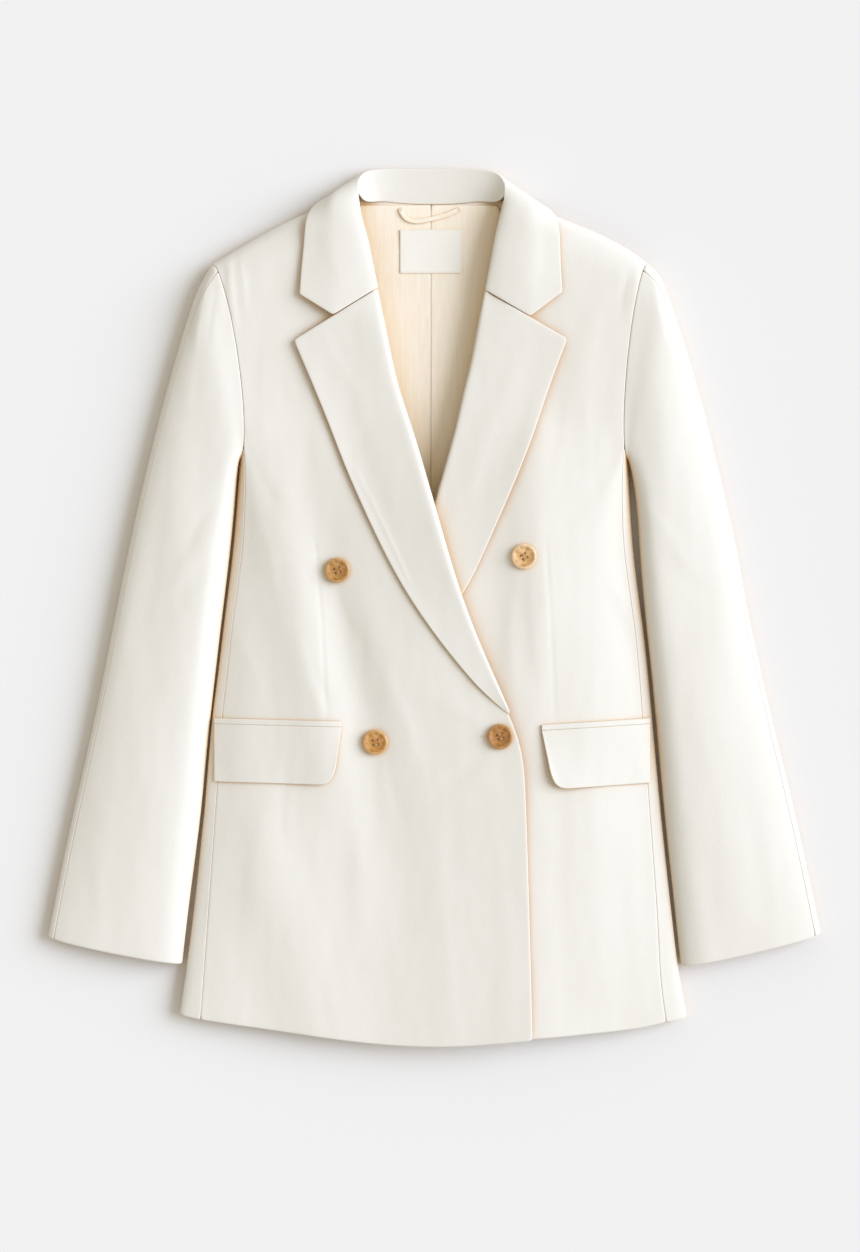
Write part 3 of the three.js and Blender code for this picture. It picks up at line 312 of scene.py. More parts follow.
# Tan horn of the buttons, with mottled layers and a paler polished rim
horn = {
    "deep": (0.36, 0.155, 0.032),
    "amber": (0.545, 0.270, 0.070),
    "pale": (0.700, 0.470, 0.225),
    "stops": (0.36, 0.50, 0.66),
    "radius": 11.0 * mm,
    "rimRange": (0.70, 0.92),
    "rimPale": 0.55,
    "warpScale": 160.0,
    "fleckScale": 700.0,
    "bandScale": 90.0,
    "bump": 0.08,
    "relief": 0.1 * mm,
    "rough": 0.30,
    "roughSpread": 0.16,
    "coat": 0.25,
    "rimCoat": 0.2,
    "surface": {"Coat Roughness": 0.18, "Specular IOR Level": 0.5},
}


def toned(colour, tone):
    return tuple(channel * share for channel, share in zip(colour, tone))


def hornMaterial(name, sizes, tone):
    material, flow = newMaterial(name)
    layers = [toned(sizes[layer], tone) for layer in ("deep", "amber", "pale")]
    place = flow.node("UVMap", {"uv_map": "face"})
    warp = place.clouds(sizes["warpScale"], 4.0, Distortion=1.2)
    fleck = place.clouds(sizes["fleckScale"], 3.0)
    bands = place.clouds(sizes["bandScale"], 2.0, Distortion=2.5)
    out = flow.node("VectorMath", {"operation": "LENGTH"}, {0: place}, 1)
    rim = (out / sizes["radius"]).between(*sizes["rimRange"])
    stops = list(zip(sizes["stops"], layers))
    mottle = flow.node("ValToRGB", {"stops": stops}, {0: warp * 0.6 + bands * 0.3 + fleck * 0.1})
    colour = (rim * sizes["rimPale"]).tint(mottle, layers[-1])
    normal = (fleck + warp).bump(sizes)
    rough = sizes["rough"] + fleck * sizes["roughSpread"]
    coat = sizes["coat"] + rim * sizes["rimCoat"]
    return finishMaterial(material, flow, sizes["surface"], colour, rough, normal, coat)


# Spun thread, with mottled fibres, in the buttons' colour and in the stitches'
threadColours = {
    "button_thread": {"light": (0.60, 0.42, 0.24), "dark": (0.36, 0.21, 0.10)},
    "hole_thread": {"light": (0.84, 0.77, 0.64), "dark": (0.70, 0.60, 0.44)},
}
spun = {
    "fibreScale": 3200.0,
    "plyScale": 1400.0,
    "toneRange": (0.35, 0.65),
    "bump": 0.3,
    "relief": 0.08 * mm,
    "rough": 0.6,
    "roughSpread": 0.15,
    "surface": {"Sheen Weight": 0.2, "Specular IOR Level": 0.3},
}


def threadMaterial(name, sizes):
    material, flow = newMaterial(name)
    place = flow.node("TexCoord", None, None, 3)
    fibre = place.clouds(sizes["fibreScale"], 3.0)
    ply = place.clouds(sizes["plyScale"], 1.0)
    tone = (fibre * 0.6 + ply * 0.4).between(*sizes["toneRange"])
    colour = tone.tint(threadColours[name]["dark"], threadColours[name]["light"])
    normal = (fibre + ply).bump(sizes)
    rough = sizes["rough"] + fibre * sizes["roughSpread"]
    return finishMaterial(material, flow, sizes["surface"], colour, rough, normal)


# Numbers for soft shapes
def soft(low, high, value):
    share = np.clip((value - low) / (high - low), 0, 1)
    return share * share * (3 - 2 * share)


# Creases of the upper side, in mm: soft ridges (height above 0) and troughs, each along
# a run that may bow sideways, steeper on one flank
creaseColumns = ("fromX", "fromY", "toX", "toY", "height", "width", "bow")
creases = {
    "overFront": [
        (-88, 44, -62, -112, -1.8, 25, 0),
        (-140, -150, -136, -300, 1.9, 27, 0),
        (-112, 205, -62, 75, 0.9, 12, 4),
        (-62, 75, -8, -20, 0.8, 11, 3),
        (-117, -28, -91, -98, 0.5, 7, 3),
        (-86, 20, -66, -30, -0.5, 8, 4),
        (-104, -60, -92, -96, -0.4, 5, -2),
        (46, -121, 4, -160, -0.5, 7, -4),
        (44, -106, -5, -80, 0.4, 7, 3),
        (-46, -128, -34, -196, 0.5, 8, 3),
        (-38, -70, -18, -128, 0.35, 7, -3),
        (-160, -168, -169, -324, -0.4, 11, 5),
        (-128, -150, -133, -205, -0.35, 7, 3),
        (-70, -190, -66, -262, 0.4, 9, -4),
        (5, -168, 14, -359, 0.45, 12, 4),
        (40, -168, 48, -368, -0.35, 12, -3),
        (-96, -330, -92, -372, -0.35, 8, 2),
        (-152, 241, -156, 137, -0.4, 10, 4),
        (-126, 163, -134, 58, 0.4, 12, -4),
        (-166, 145, -126, 76, -0.45, 8, 5),
        (-158, 88, -140, 20, 0.35, 7, -3),
        (-178, 299, -173, 248, 0.45, 3.6, 1),
        (-183, 293, -179, 252, -0.4, 3, 1),
        (-168, 296, -165, 262, 0.3, 3, -1),
        (-176, -20, -150, -90, 0.35, 8, -4),
    ],
    "underFront": [
        (144, 267, 131, 163, 0.45, 10, 4),
        (109, 198, 96, 119, -0.4, 9, -3),
        (163, 145, 118, 76, -0.4, 8, -4),
        (176, 292, 170, 252, 0.35, 3.4, -1),
        (168, 288, 163, 258, -0.3, 3, 1),
        (144, 41, 179, -11, 0.4, 8, 3),
        (153, 6, 179, -72, -0.4, 8, -3),
        (78, 22, 84, -58, -0.4, 6, 2),
        (66, 0, 70, -88, 0.4, 7, 2),
        (109, -168, 114, -350, -0.4, 11, 4),
        (161, -168, 179, -342, 0.35, 12, -4),
        (100, 30, 96, -70, 0.35, 9, 3),
    ],
    "rightSleeve": [
        (-197, 284, -207, 232, 0.45, 3.4, 1.5),
        (-203, 280, -214, 236, -0.4, 3, 1.5),
        (-190, 276, -196, 232, -0.35, 3, 1),
        (-200, 267, -213, 180, 0.4, 7, 3),
        (-234, 137, -256, -28, -0.4, 9, -4),
        (-191, 76, -204, -46, 0.45, 8, 3),
        (-182, 96, -214, 52, -0.45, 5.5, 4),
        (-184, 62, -228, 18, 0.4, 6, 4),
        (-182, 41, -221, 6, -0.45, 6, 3),
        (-247, -81, -213, -63, 0.35, 7, -3),
        (-282, -168, -291, -272, 0.4, 10, 4),
        (-247, -185, -247, -298, -0.35, 11, -4),
    ],
    "leftSleeve": [
        (190, 284, 200, 236, 0.4, 3.4, -1.5),
        (197, 282, 208, 240, -0.35, 3, -1.5),
        (188, 267, 222, 180, 0.35, 8, -3),
        (222, 111, 231, -11, 0.4, 9, 4),
        (192, 41, 231, 15, -0.45, 6, -3),
        (184, 84, 216, 40, 0.4, 6, -4),
        (248, -28, 205, -63, 0.35, 6.5, 3),
        (266, -150, 283, -281, -0.4, 11, -4),
        (231, -168, 235, -298, 0.4, 12, 4),
    ],
    "rightLapel": [
        (-68, 118, -21, 20, 0.3, 1.6, -1),
        (-84, 214, -34, 60, -0.4, 11, 5),
        (-96, 236, -74, 196, 0.35, 7, 2),
    ],
    "leftLapel": [
        (90, 214, 44, 96, -0.4, 11, -4),
        (66, 196, 34, 110, 0.35, 8, 3),
    ],
    "collar": [
        (-92, 338, -84, 286, 0.35, 8, 3),
        (86, 336, 82, 286, 0.35, 8, -3),
    ],
}

# Two front darts: each a fine sewn groove, in two runs
darts = [
    (-103, 55, -98, -10, -0.3, 1.8, 0),
    (-98, -10, -93.5, -96, -0.3, 1.8, 0),
    (97, 55, 100.5, 0, -0.3, 1.8, 0),
    (100.5, 0, 105, -95, -0.3, 1.8, 0),
]

# Creases of the hidden under side, raised off the surface only and clear of the lining
underCreases = [
    (-150, 60, -118, -40, 0.8, 11, 5),
    (-96, 20, -104, -150, 0.7, 14, -6),
    (-60, -120, -48, -330, 0.8, 15, 5),
    (-132, -190, -140, -350, 0.7, 13, -4),
    (146, 64, 112, -30, 0.8, 11, -5),
    (92, 0, 98, -160, 0.7, 14, 6),
    (52, -140, 46, -345, 0.8, 15, -5),
    (136, -200, 142, -352, 0.7, 12, 4),
    (-214, 190, -232, 60, 0.8, 9, 4),
    (-206, 40, -248, 10, 0.7, 7, 3),
    (-252, -40, -272, -200, 0.8, 11, -4),
    (206, 196, 226, 60, 0.8, 9, -4),
    (200, 30, 246, 4, 0.7, 7, -3),
    (250, -60, 268, -210, 0.8, 11, 4),
]

# A crease's height at its ends and what it gains in the middle, how far it runs out past
# its ends, and its two flanks, as shares of its row's numbers
creaseShape = {"ends": 0.45, "gain": 0.55, "runOut": 1.6, "gentle": 1.25, "steep": 0.8}

# Slow and fine unevenness of the laid cloth
drift = [
    {"height": 0.4, "wide": 34.0, "long": 110.0, "slice": 0.5},
    {"height": 0.13, "wide": 10.0, "long": 24.0, "slice": 7.5},
]

# Round each button the creases fade, and the cloth is pressed in a little
buttonSeat = {
    "places": [(-84, 32), (-51, -117), (78, 44), (57, -112)],
    "radius": 13.0,
    "depth": 0.35,
    "tighter": 2.2,
}

# Heights in mm over which the upper side's relief comes in and the under side's goes out
reliefHeights = {"upper": (5, 14), "under": (2, 9)}


def creaseSum(x, y, rows):
    total = np.zeros_like(x)
    for row in rows:
        run = dict(zip(creaseColumns, row))
        runX, runY = run["toX"] - run["fromX"], run["toY"] - run["fromY"]
        length = math.hypot(runX, runY)
        offX, offY = x - run["fromX"], y - run["fromY"]
        along = (offX * runX + offY * runY) / length**2
        share = np.clip(along, 0, 1)
        across = (offX * runY - offY * runX) / length - run["bow"] * 4 * share * (1 - share)
        beyond = (along - share) * length / (creaseShape["runOut"] * run["width"])
        width = np.where(across > 0, creaseShape["gentle"], creaseShape["steep"]) * run["width"]
        gain = creaseShape["gain"] * np.sin(math.pi * (share * 0.9 + 0.05))
        rise = run["height"] * (creaseShape["ends"] + gain)
        total += rise * np.exp(-((across / width) ** 2) - beyond**2)
    return total


def driftSum(x, y):
    total = 0
    for size in drift:
        wide, long = size["wide"], size["long"]
        uneven = [noise.noise(Vector((a / wide, b / long, size["slice"]))) for a, b in zip(x, y)]
        total = total + np.array(uneven) * size["height"]
    return total


def upperRelief(x, y):
    total = sum(creaseSum(x, y, rows) for rows in creases.values()) + driftSum(x, y)
    for seatX, seatY in buttonSeat["places"]:
        away = ((x - seatX) ** 2 + (y - seatY) ** 2) / buttonSeat["radius"] ** 2
        pressed = buttonSeat["depth"] * np.exp(-away * buttonSeat["tighter"])
        total = total * (1 - np.exp(-away)) - pressed
    return total + creaseSum(x, y, darts)


def relief(points):
    x, y, z = points.T
    under = np.clip(creaseSum(x, y, underCreases), 0, None)
    above = soft(*reliefHeights["upper"], z)
    return above * upperRelief(x, y) + (1 - soft(*reliefHeights["under"], z)) * under


# Cloth pieces: each CAD wall is merged and smoothed, then takes its creases; edges beyond
# sharpAngle hold their shape by the share in hold
wall = {
    "merge": 0.01 * mm,
    "flatAngle": 50,
    "shapeAngle": 170,
    "sharpAngle": 55,
    "level": 3,
    "hold": 0.5,
}


def meshFrom(bm, name):
    mesh = bpy.data.meshes.new(name)
    bm.to_mesh(mesh)
    bm.free()
    return mesh


def shaped(holder):
    # the mesh as its modifiers leave it; the holder goes
    seen = holder.evaluated_get(bpy.context.evaluated_depsgraph_get())
    mesh = bpy.data.meshes.new_from_object(seen)
    bpy.data.objects.remove(holder)
    return mesh


def smoothWall(name, level=wall["level"], hold=wall["hold"]):
    bm = bmesh.new()
    bm.from_mesh(nodes[name].data)
    bmesh.ops.remove_doubles(bm, verts=bm.verts, dist=wall["merge"])
    bmesh.ops.join_triangles(
        bm,
        faces=bm.faces,
        angle_face_threshold=math.radians(wall["flatAngle"]),
        angle_shape_threshold=math.radians(wall["shapeAngle"]),
    )
    sharpAngle = math.radians(wall["sharpAngle"])
    creased = bm.edges.layers.float.new("crease_edge")
    for edge in bm.edges:
        if len(edge.link_faces) == 2 and edge.calc_face_angle() > sharpAngle:
            edge[creased] = hold
    mesh = meshFrom(bm, name + "_wall")
    holder = linked(name + "_wall", mesh)
    modifier = holder.modifiers.new("smooth", "SUBSURF")
    modifier.levels = modifier.render_levels = level
    made = shaped(holder)
    bpy.data.meshes.remove(mesh)
    return made


def readPoints(mesh):
    points = np.empty(len(mesh.vertices) * 3)
    mesh.vertices.foreach_get("co", points)
    return points.reshape(-1, 3) / mm


def writePoints(mesh, points):
    mesh.vertices.foreach_set("co", (points * mm).ravel())
    mesh.update()


def swell(mesh, distance):
    # every point moves out along its own normal, which brings the rims at a seam together
    normals = np.empty(len(mesh.vertices) * 3)
    mesh.vertices.foreach_get("normal", normals)
    writePoints(mesh, readPoints(mesh) + distance * normals.reshape(-1, 3))


def mapGrain(mesh, angle, side):
    # in metres; height adds to the width, so that the weave runs down a side edge
    points = readPoints(mesh) * mm
    turn = math.radians(angle)
    x, y, z = points.T
    width = x * math.cos(turn) + y * math.sin(turn) + side * z
    length = y * math.cos(turn) - x * math.sin(turn)
    corners = np.empty(len(mesh.loops), dtype=np.int32)
    mesh.loops.foreach_get("vertex_index", corners)
    grain = mesh.uv_layers.new(name="grain")
    grain.data.foreach_set("uv", np.stack([width[corners], length[corners]], axis=1).ravel())


def addPiece(name, mesh, material, replaced):
    for polygon in mesh.polygons:
        polygon.use_smooth = True
    mesh.materials.clear()
    mesh.materials.append(material)
    piece = linked(name, mesh)
    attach(piece, "root")
    if replaced:
        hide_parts(*replaced)
    return piece


def sayArea(name, mesh, stated):
    # one side of the wall, so half of its whole surface
    area = sum(polygon.area for polygon in mesh.polygons) / 2
    print("  ", name, "area", round(area, 5), "stated", stated)


# By how many mm the cloth swells at its surface, so that seams close to hairlines
seamSwell = {"sleeve": 0.22, "panel": 0.11}

# Where the gorge meets the roll, the lapel settles to the collar's height
gorge = {
    "right": (-50.0, 276.5),
    "left": (45.0, 274.5),
    "drop": 3.0,
    "reach": 34.0,
    "low": 20.5,
    "high": 29.0,
}

# The stand's ends reach into the collar's fold
standReach = {
    "middleX": -3.0,
    "wider": 0.042,
    "further": 0.9,
    "lower": 3.0,
    "fromY": 356.0,
    "toY": 372.0,
    "endFrom": 36,
    "endTo": 56,
}

# The right lapel runs out in a point, into the front's free edge
lapelPoint = {
    "x": 66.5,
    "y": -94.0,
    "fromY": -66.0,
    "toY": -90.0,
    "share": 0.8,
    "drop": 1.3,
}


def settleLapel(points, side):
    cornerX, cornerY = gorge[side]
    away = np.hypot(points[:, 0] - cornerX, points[:, 1] - cornerY)
    near = 1 - soft(0, gorge["reach"], away)
    points[:, 2] -= gorge["drop"] * near * soft(gorge["low"], gorge["high"], points[:, 2])
    if side == "right":
        share = soft(lapelPoint["fromY"], lapelPoint["toY"], points[:, 1])
        for axis, end in enumerate((lapelPoint["x"], lapelPoint["y"])):
            points[:, axis] += lapelPoint["share"] * share * (end - points[:, axis])
        points[:, 2] -= lapelPoint["drop"] * share


def settleStand(points):
    offset = points[:, 0] - standReach["middleX"]
    up = soft(standReach["fromY"], standReach["toY"], points[:, 1])
    atEnd = soft(standReach["endFrom"], standReach["endTo"], np.abs(offset))
    points[:, 0] += offset * standReach["wider"]
    points[:, 1] += standReach["further"] * up - standReach["lower"] * (1 - up) * atEnd


# Pieces that settle onto their neighbours once they have their creases
settled = {
    "lapel_right": lambda points: settleLapel(points, "right"),
    "lapel_left": lambda points: settleLapel(points, "left"),
    "collar_stand": settleStand,
}

# Every cloth piece: its smoothing, its grain's turn and side, the flat cut of what shows
# with its area, and what it lies on
clothColumns = ("name", "level", "grain", "side", "flat", "area", "on")
clothPieces = [
    ("back_right", 2, 0, 0, (0.235, 0.735), 0.112, []),
    ("back_left", 2, 0, 0, (0.235, 0.735), 0.114, []),
    ("side_right", 3, 4, -1, (0.090, 0.49), 0.030, []),
    ("side_left", 3, -4, 1, (0.090, 0.49), 0.030, []),
    ("front_left", 3, 0, 1, (0.31, 0.74), 0.150, ["back_left"]),
    ("front_right", 3, 0, -1, (0.31, 0.74), 0.150, ["front_left"]),
    ("lapel_left", 3, -22, 0, (0.085, 0.37), 0.021, ["front_left"]),
    ("lapel_right", 3, 27, 0, (0.085, 0.38), 0.022, ["front_right"]),
    ("collar_leaf", 3, 0, 0, (0.40, 0.07), 0.0184, ["front_right"]),
    ("collar_stand", 3, 0, 0, (0.15, 0.03), 0.0036, []),
    ("top_sleeve_right", 3, -11, -1, (0.16, 0.63), 0.0565, []),
    ("top_sleeve_left", 3, 11, 1, (0.16, 0.63), 0.0565, []),
    ("under_sleeve_right", 2, -11, 1, (0.15, 0.63), 0.0565, []),
    ("under_sleeve_left", 2, 11, -1, (0.15, 0.63), 0.0565, []),
    ("pocket_flap_right", 3, 0, -1, (0.12, 0.05), 0.0056, ["front_right"]),
    ("pocket_flap_left", 3, 0, 1, (0.11, 0.05), 0.0046, ["front_left"]),
    ("pocket_welt_right", 3, 90, 0, (0.12, 0.01), 0.0007, ["front_right"]),
    ("pocket_welt_left", 3, 90, 0, (0.11, 0.01), 0.0006, ["front_left"]),
]


def buildCloth(material):
    made = {}
    for row in clothPieces:
        sizes = dict(zip(clothColumns, row))
        name = sizes["name"]
        mesh = smoothWall(name, sizes["level"])
        swell(mesh, seamSwell["sleeve" if "sleeve" in name else "panel"])
        mapGrain(mesh, sizes["grain"], sizes["side"])
        points = readPoints(mesh)
        points[:, 2] += relief(points)
        if name in settled:
            settled[name](points)
        points[:, 2] = np.maximum(points[:, 2], 0)
        writePoints(mesh, points)
        piece = addPiece(name + "_cloth", mesh, material, [name])
        made[name] = piece
        sayArea(name, mesh, sizes["area"])
    return made


# The lining's two halves, whose top corners reach on under the collar
liningReach = {"middleX": -3.0, "fromY": 322.0, "toY": 351.0, "share": 0.17}
linings = {
    "lining_right": {"flat": (0.066, 0.27), "area": 0.0120, "on": ["back_right"]},
    "lining_left": {"flat": (0.062, 0.27), "area": 0.0120, "on": ["back_left"]},
}


def buildLinings(material):
    for name, sizes in linings.items():
        mesh = smoothWall(name)
        points = readPoints(mesh)
        reach = soft(liningReach["fromY"], liningReach["toY"], points[:, 1])
        wider = liningReach["share"] * reach
        points[:, 0] += (points[:, 0] - liningReach["middleX"]) * wider
        writePoints(mesh, points)
        mapGrain(mesh, 0, 0)
        piece = addPiece(name + "_satin", mesh, material, [name])
        sayArea(name, mesh, sizes["area"])


# Hanger loop and neck label: how firmly their edges hold, their grain's turn, and their cut
trims = {
    "hanger_loop": {"hold": 0.2, "grain": 90, "cut": {"flat": (0.0625, 0.01), "area": 0.00025}},
    "neck_label": {"hold": 0.6, "grain": 0, "cut": {"flat": (0.054, 0.038)}},
}


def buildTrim(name, finish, material):
    sizes = trims[name]
    mesh = smoothWall(name, hold=sizes["hold"])
    mapGrain(mesh, sizes["grain"], 0)
    piece = addPiece(name + "_" + finish, mesh, material, [name])
    return piece


# Buttons, in mm: turned horn with four holes, on the place and tilt of each CAD button
button = {
    "radius": 11.0,
    "thickness": 3.4,
    "rim": 2.6,
    "dish": 0.9,
    "steps": 72,
    "hole": 0.98,
    "holeSides": 20,
    "drillDepth": 20,
    "spread": 1.9,
    "rounding": 0.14,
    "roundingAngle": 50,
}

# Thread in the holes, in mm; outer strands differ from the middle one by the steps
buttonSewing = {
    "strand": 0.2,
    "sides": 8,
    "steps": 12,
    "pitch": 1.7,
    "reachStep": 0.05,
    "arch": 0.52,
    "archStep": 0.04,
    "sunk": 0.25,
}


def turnedButton(sizes):
    # the section runs from the middle of the underside, round the rim, into the dish
    radius, top = sizes["radius"], sizes["thickness"]
    inside, dish = radius - sizes["rim"], top - sizes["dish"]
    profile = [
        (0, 0),
        (radius - 2.6, 0),
        (radius - 1.2, 0.45),
        (radius - 0.35, 1.2),
        (radius, 2.1),
        (radius - 0.15, 2.8),
        (radius - 0.7, top - 0.12),
        (radius - 1.4, top),
        (inside + 0.2, top - 0.12),
        (inside - 0.5, top - 0.45),
        (inside - 1.4, dish),
        (inside - 3.4, dish - 0.08),
        (0, dish - 0.1),
    ]
    bm = bmesh.new()
    points = [bm.verts.new((out * mm, 0, up * mm)) for out, up in profile]
    edges = [bm.edges.new(pair) for pair in zip(points, points[1:])]
    bmesh.ops.spin(
        bm,
        geom=points + edges,
        cent=(0, 0, 0),
        axis=(0, 0, 1),
        angle=math.tau,
        steps=sizes["steps"],
        use_merge=True,
        use_duplicate=False,
    )
    bmesh.ops.remove_doubles(bm, verts=bm.verts, dist=0.001 * mm)
    bmesh.ops.recalc_face_normals(bm, faces=bm.faces)
    return meshFrom(bm, "button_turned")


def drillButton(mesh, sizes):
    bm = bmesh.new()
    out = sizes["spread"] * math.sqrt(2) * mm
    for turn in range(4):
        angle = math.pi / 4 + turn * math.pi / 2
        bmesh.ops.create_cone(
            bm,
            cap_ends=True,
            segments=sizes["holeSides"],
            radius1=sizes["hole"] * mm,
            radius2=sizes["hole"] * mm,
            depth=sizes["drillDepth"] * mm,
            matrix=Matrix.Translation((out * math.cos(angle), out * math.sin(angle), 0)),
        )
    drill = linked("drill", meshFrom(bm, "drill"))
    blank = linked("button_blank", mesh)
    cut = blank.modifiers.new("holes", "BOOLEAN")
    cut.operation = "DIFFERENCE"
    cut.solver = "EXACT"
    cut.object = drill
    rounding = blank.modifiers.new("rounding", "BEVEL")
    rounding.width = sizes["rounding"] * mm
    rounding.segments = 2
    rounding.limit_method = "ANGLE"
    rounding.angle_limit = math.radians(sizes["roundingAngle"])
    made = shaped(blank)
    bpy.data.objects.remove(drill)
    return made


def threadStitches(sizes, thread):
    # three strands side by side over each pair of holes, each a flattened half ring
    bm = bmesh.new()
    foot = sizes["thickness"] - sizes["dish"] - thread["sunk"]
    for column in (-1, 1):
        for strand in (-1, 0, 1):
            shift = column * sizes["spread"] + strand * thread["strand"] * thread["pitch"]
            reach = sizes["spread"] + thread["reachStep"] * strand
            circle = bmesh.ops.create_circle(
                bm, cap_ends=False, segments=thread["sides"], radius=thread["strand"] * mm
            )
            ring = circle["verts"]
            bmesh.ops.translate(bm, verts=ring, vec=(0, reach * mm, 0))
            edges = [edge for edge in bm.edges if all(vert in ring for vert in edge.verts)]
            bmesh.ops.spin(
                bm,
                geom=ring + edges,
                cent=(0, 0, 0),
                axis=(1, 0, 0),
                angle=math.pi,
                steps=thread["steps"],
                use_duplicate=False,
            )
            loose = [vert for vert in bm.verts if not vert.tag]
            for vert in loose:
                vert.tag = True
            arch = thread["arch"] + thread["archStep"] * strand
            bmesh.ops.scale(bm, vec=(1, 1, arch), verts=loose)
            bmesh.ops.translate(bm, verts=loose, vec=(shift * mm, 0, foot * mm))
    bmesh.ops.recalc_face_normals(bm, faces=bm.faces)
    return meshFrom(bm, "button_thread")


def buttonPlace(name, turn):
    # the CAD button's axis is the direction in which it is thinnest
    points = readPoints(nodes[name].data)
    middle = points.mean(axis=0)
    axis = Vector(np.linalg.svd(points - middle, full_matrices=False)[2][2])
    if axis.z < 0:
        axis = -axis
    low = min((Vector(p) - Vector(middle)).dot(axis) for p in points)
    base = (Vector(middle) + axis * low) * mm
    tilt = axis.to_track_quat("Z", "Y").to_matrix().to_4x4()
    return Matrix.Translation(base) @ tilt @ Matrix.Rotation(turn, 4, "Z")


def mapFace(mesh):
    corners = np.empty(len(mesh.loops), dtype=np.int32)
    mesh.loops.foreach_get("vertex_index", corners)
    points = readPoints(mesh) * mm
    face = mesh.uv_layers.new(name="face")
    face.data.foreach_set("uv", points[corners][:, :2].ravel())


# Each button's turn about its shank, and the factors by which its horn's colours are scaled
buttonLooks = {
    "button_over_upper": {"turn": 0.15, "tone": (0.90, 0.88, 0.84)},
    "button_over_lower": {"turn": -0.2, "tone": (1.02, 0.98, 0.92)},
    "button_under_upper": {"turn": 0.5, "tone": (1.36, 1.62, 2.45)},
    "button_fastened": {"turn": 0.1, "tone": (0.76, 0.66, 0.56)},
}


def buildButtons(threadFinish):
    blank = drillButton(turnedButton(button), button)
    stitches = threadStitches(button, buttonSewing)
    for name, looks in buttonLooks.items():
        place = buttonPlace(name, looks["turn"])
        hornFinish = hornMaterial(name.replace("button", "horn"), horn, looks["tone"])
        disc = blank.copy()
        mapFace(disc)
        disc.transform(place)
        addPiece(name + "_horn", disc, hornFinish, [name])
        sewn = stitches.copy()
        sewn.transform(place)
        addPiece(name + "_thread", sewn, threadFinish, [])


# Sewing, in mm: short strands of thread, half sunk in the cloth that they lie on
sewing = {
    "dropFrom": 100,
    "flatness": 2.6,
    "holeInner": 15.6,
    "holeOuter": 9.0,
    "holePitch": 0.6,
    "holeReach": 1.5,
    "holeGap": 0.22,
    "holeStrand": 0.56,
    "holeFan": 7,
    "holeFanAngle": 150,
    "labelInset": 1.1,
    "labelPitch": 2.9,
    "labelLength": 2.0,
    "labelStrand": 0.4,
    "tackLength": 3.6,
    "tackStrand": 0.5,
    "tackPitch": 0.75,
    "tackCount": 4,
    "tackInset": 2.2,
    "tackDown": 3.4,
}


def addStrand(bm, cloth, x, y, angle, length, width):
    # the strand is dropped from above onto the cloth, and lies along its slope
    above = Vector((x * mm, y * mm, sewing["dropFrom"] * mm))
    hit, place, up, _ = cloth.ray_cast(above, Vector((0, 0, -1)))
    if not hit:
        return
    side = up.cross(Vector((math.cos(angle), math.sin(angle), 0))).normalized()
    axes = Matrix((side.cross(up), side, up)).transposed().to_4x4()
    height = width * mm / sewing["flatness"]
    shape = Matrix.Diagonal((length * mm / 2, width * mm / 2, height, 1))
    placed = Matrix.Translation(place) @ axes @ shape
    bmesh.ops.create_icosphere(bm, subdivisions=2, radius=1, matrix=placed)


def middleOf(name):
    low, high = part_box(name)
    return [(a + b) / 2 / mm for a, b in zip(low, high)]


def sewButtonhole(sizes, front, material):
    # two rows of purl stitches along the cut, and a fan of them round each end
    bm = bmesh.new()
    buttonX, buttonY = middleOf("button_fastened")[:2]
    low, high = buttonX - sizes["holeInner"], buttonX + sizes["holeOuter"]
    reach, strand = sizes["holeReach"], sizes["holeStrand"]
    out = (sizes["holeGap"] + reach) / 2
    for i in range(int((high - low) / sizes["holePitch"]) + 1):
        x = low + i * sizes["holePitch"]
        for row in (-1, 1):
            addStrand(bm, front, x, buttonY + row * out, math.pi / 2, reach, strand)
    for end, facing in ((low, math.pi), (high, 0)):
        for i in range(sizes["holeFan"]):
            share = i / (sizes["holeFan"] - 1) - 0.5
            angle = facing + math.radians(sizes["holeFanAngle"]) * share
            x, y = end + out * math.cos(angle), buttonY + out * math.sin(angle)
            addStrand(bm, front, x, y, angle, reach, strand)
    addPiece("buttonhole_stitches", meshFrom(bm, "buttonhole_stitches"), material, [])


def sewLabel(sizes, label, material):
    bm = bmesh.new()
    low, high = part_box("neck_label")
    inset, pitch = sizes["labelInset"], sizes["labelPitch"]
    length, strand = sizes["labelLength"], sizes["labelStrand"]
    left, right = low[0] / mm + inset, high[0] / mm - inset
    bottom, top = low[1] / mm + inset, high[1] / mm - inset
    for i in range(round((right - left) / pitch)):
        x = left + (i + 0.5) * pitch
        for y in (bottom, top):
            addStrand(bm, label, x, y, 0, length, strand)
    for i in range(round((top - bottom) / pitch)):
        y = bottom + (i + 0.5) * pitch
        for x in (left, right):
            addStrand(bm, label, x, y, math.pi / 2, length, strand)
    addPiece("label_stitches", meshFrom(bm, "label_stitches"), material, [])


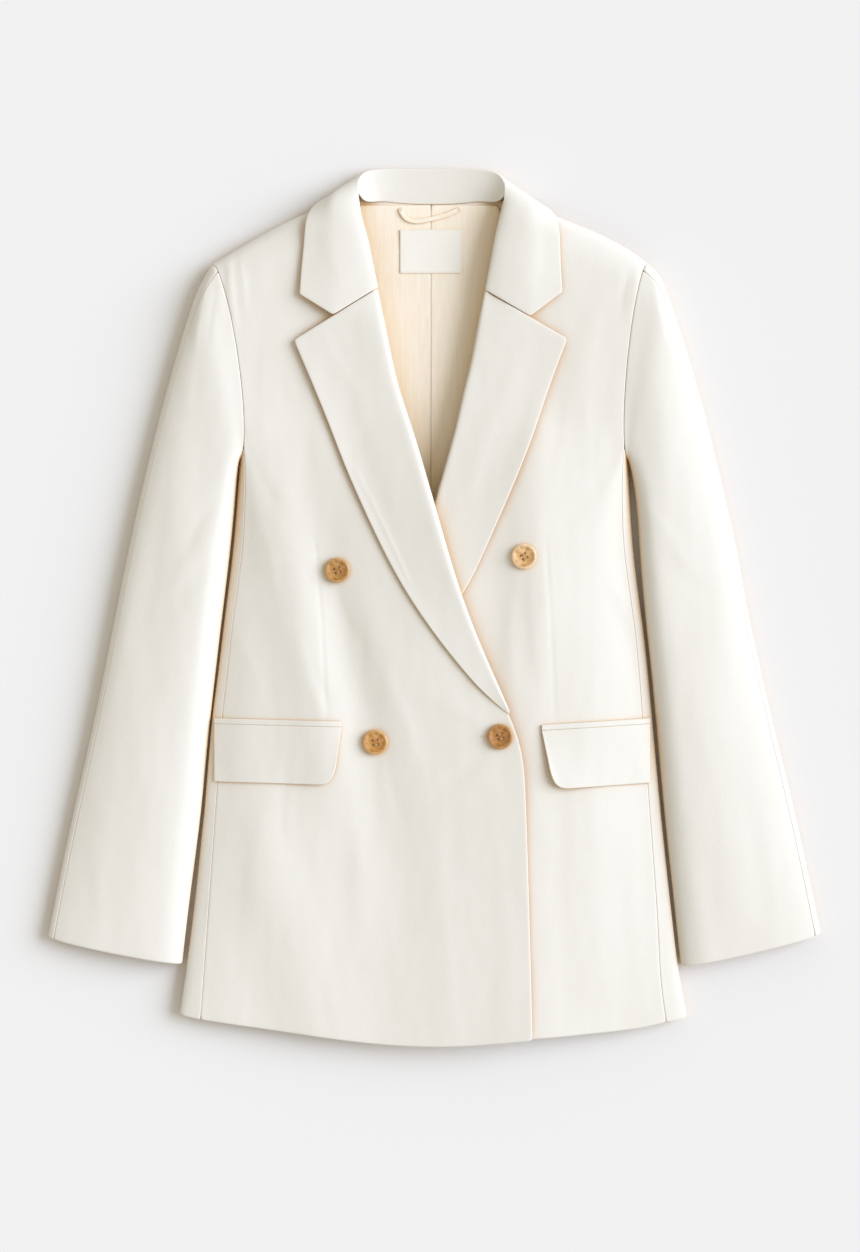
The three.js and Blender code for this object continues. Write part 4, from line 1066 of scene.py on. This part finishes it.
def sewLoop(sizes, tape, material):
    # a bar of strands across each end of the loop
    bm = bmesh.new()
    low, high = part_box("hanger_loop")
    y = high[1] / mm - sizes["tackDown"]
    for end, inwards in ((low[0] / mm, 1), (high[0] / mm, -1)):
        for i in range(sizes["tackCount"]):
            x = end + inwards * (sizes["tackInset"] + i * sizes["tackPitch"])
            addStrand(bm, tape, x, y, math.pi / 2, sizes["tackLength"], sizes["tackStrand"])
    addPiece("loop_tacks", meshFrom(bm, "loop_tacks"), material, [])


# Pale studio floor, just beneath the cloth
paleFloor = {"size": 30.0, "drop": 0.0004, "grey": 0.8, "mottle": 0.005, "cloudScale": 1.5}


def floorMaterial(sizes):
    material, flow = newMaterial("pale_floor")
    cloud = flow.node("TexCoord", None, None, 3).clouds(sizes["cloudScale"], 2.0)
    grey, mottle = sizes["grey"], sizes["mottle"]
    colour = cloud.tint((grey * (1 - mottle),) * 3, (grey * (1 + mottle),) * 3)
    return finishMaterial(material, flow, {"Specular IOR Level": 0.0}, colour, 0.9 + cloud * 0.05)


def buildFloor(sizes):
    bm = bmesh.new()
    bmesh.ops.create_grid(bm, x_segments=4, y_segments=4, size=sizes["size"] / 2)
    bmesh.ops.translate(bm, verts=bm.verts, vec=(0, 0, -sizes["drop"]))
    mesh = meshFrom(bm, "pale_floor")
    mesh.materials.append(floorMaterial(sizes))
    linked("pale_floor", mesh)


setCamera(camera)
setLights(studio)
buildFloor(paleFloor)
print("stage: camera, light and floor are set")
cloth = buildCloth(suitingMaterial(suiting))
print("stage: outer cloth is done")
satinFinish = satinMaterial(satin)
buildLinings(satinFinish)
loopTape = buildTrim("hanger_loop", "satin", satinFinish)
neckLabel = buildTrim("neck_label", "woven", labelMaterial(labelCloth))
print("stage: lining, label and loop are done")
buildButtons(threadMaterial("button_thread", spun))
print("stage: buttons are done")
bpy.context.view_layer.update()
holeThread = threadMaterial("hole_thread", spun)
sewButtonhole(sewing, cloth["front_right"], holeThread)
sewLabel(sewing, neckLabel, holeThread)
sewLoop(sewing, loopTape, holeThread)
print("stage: sewing is done")
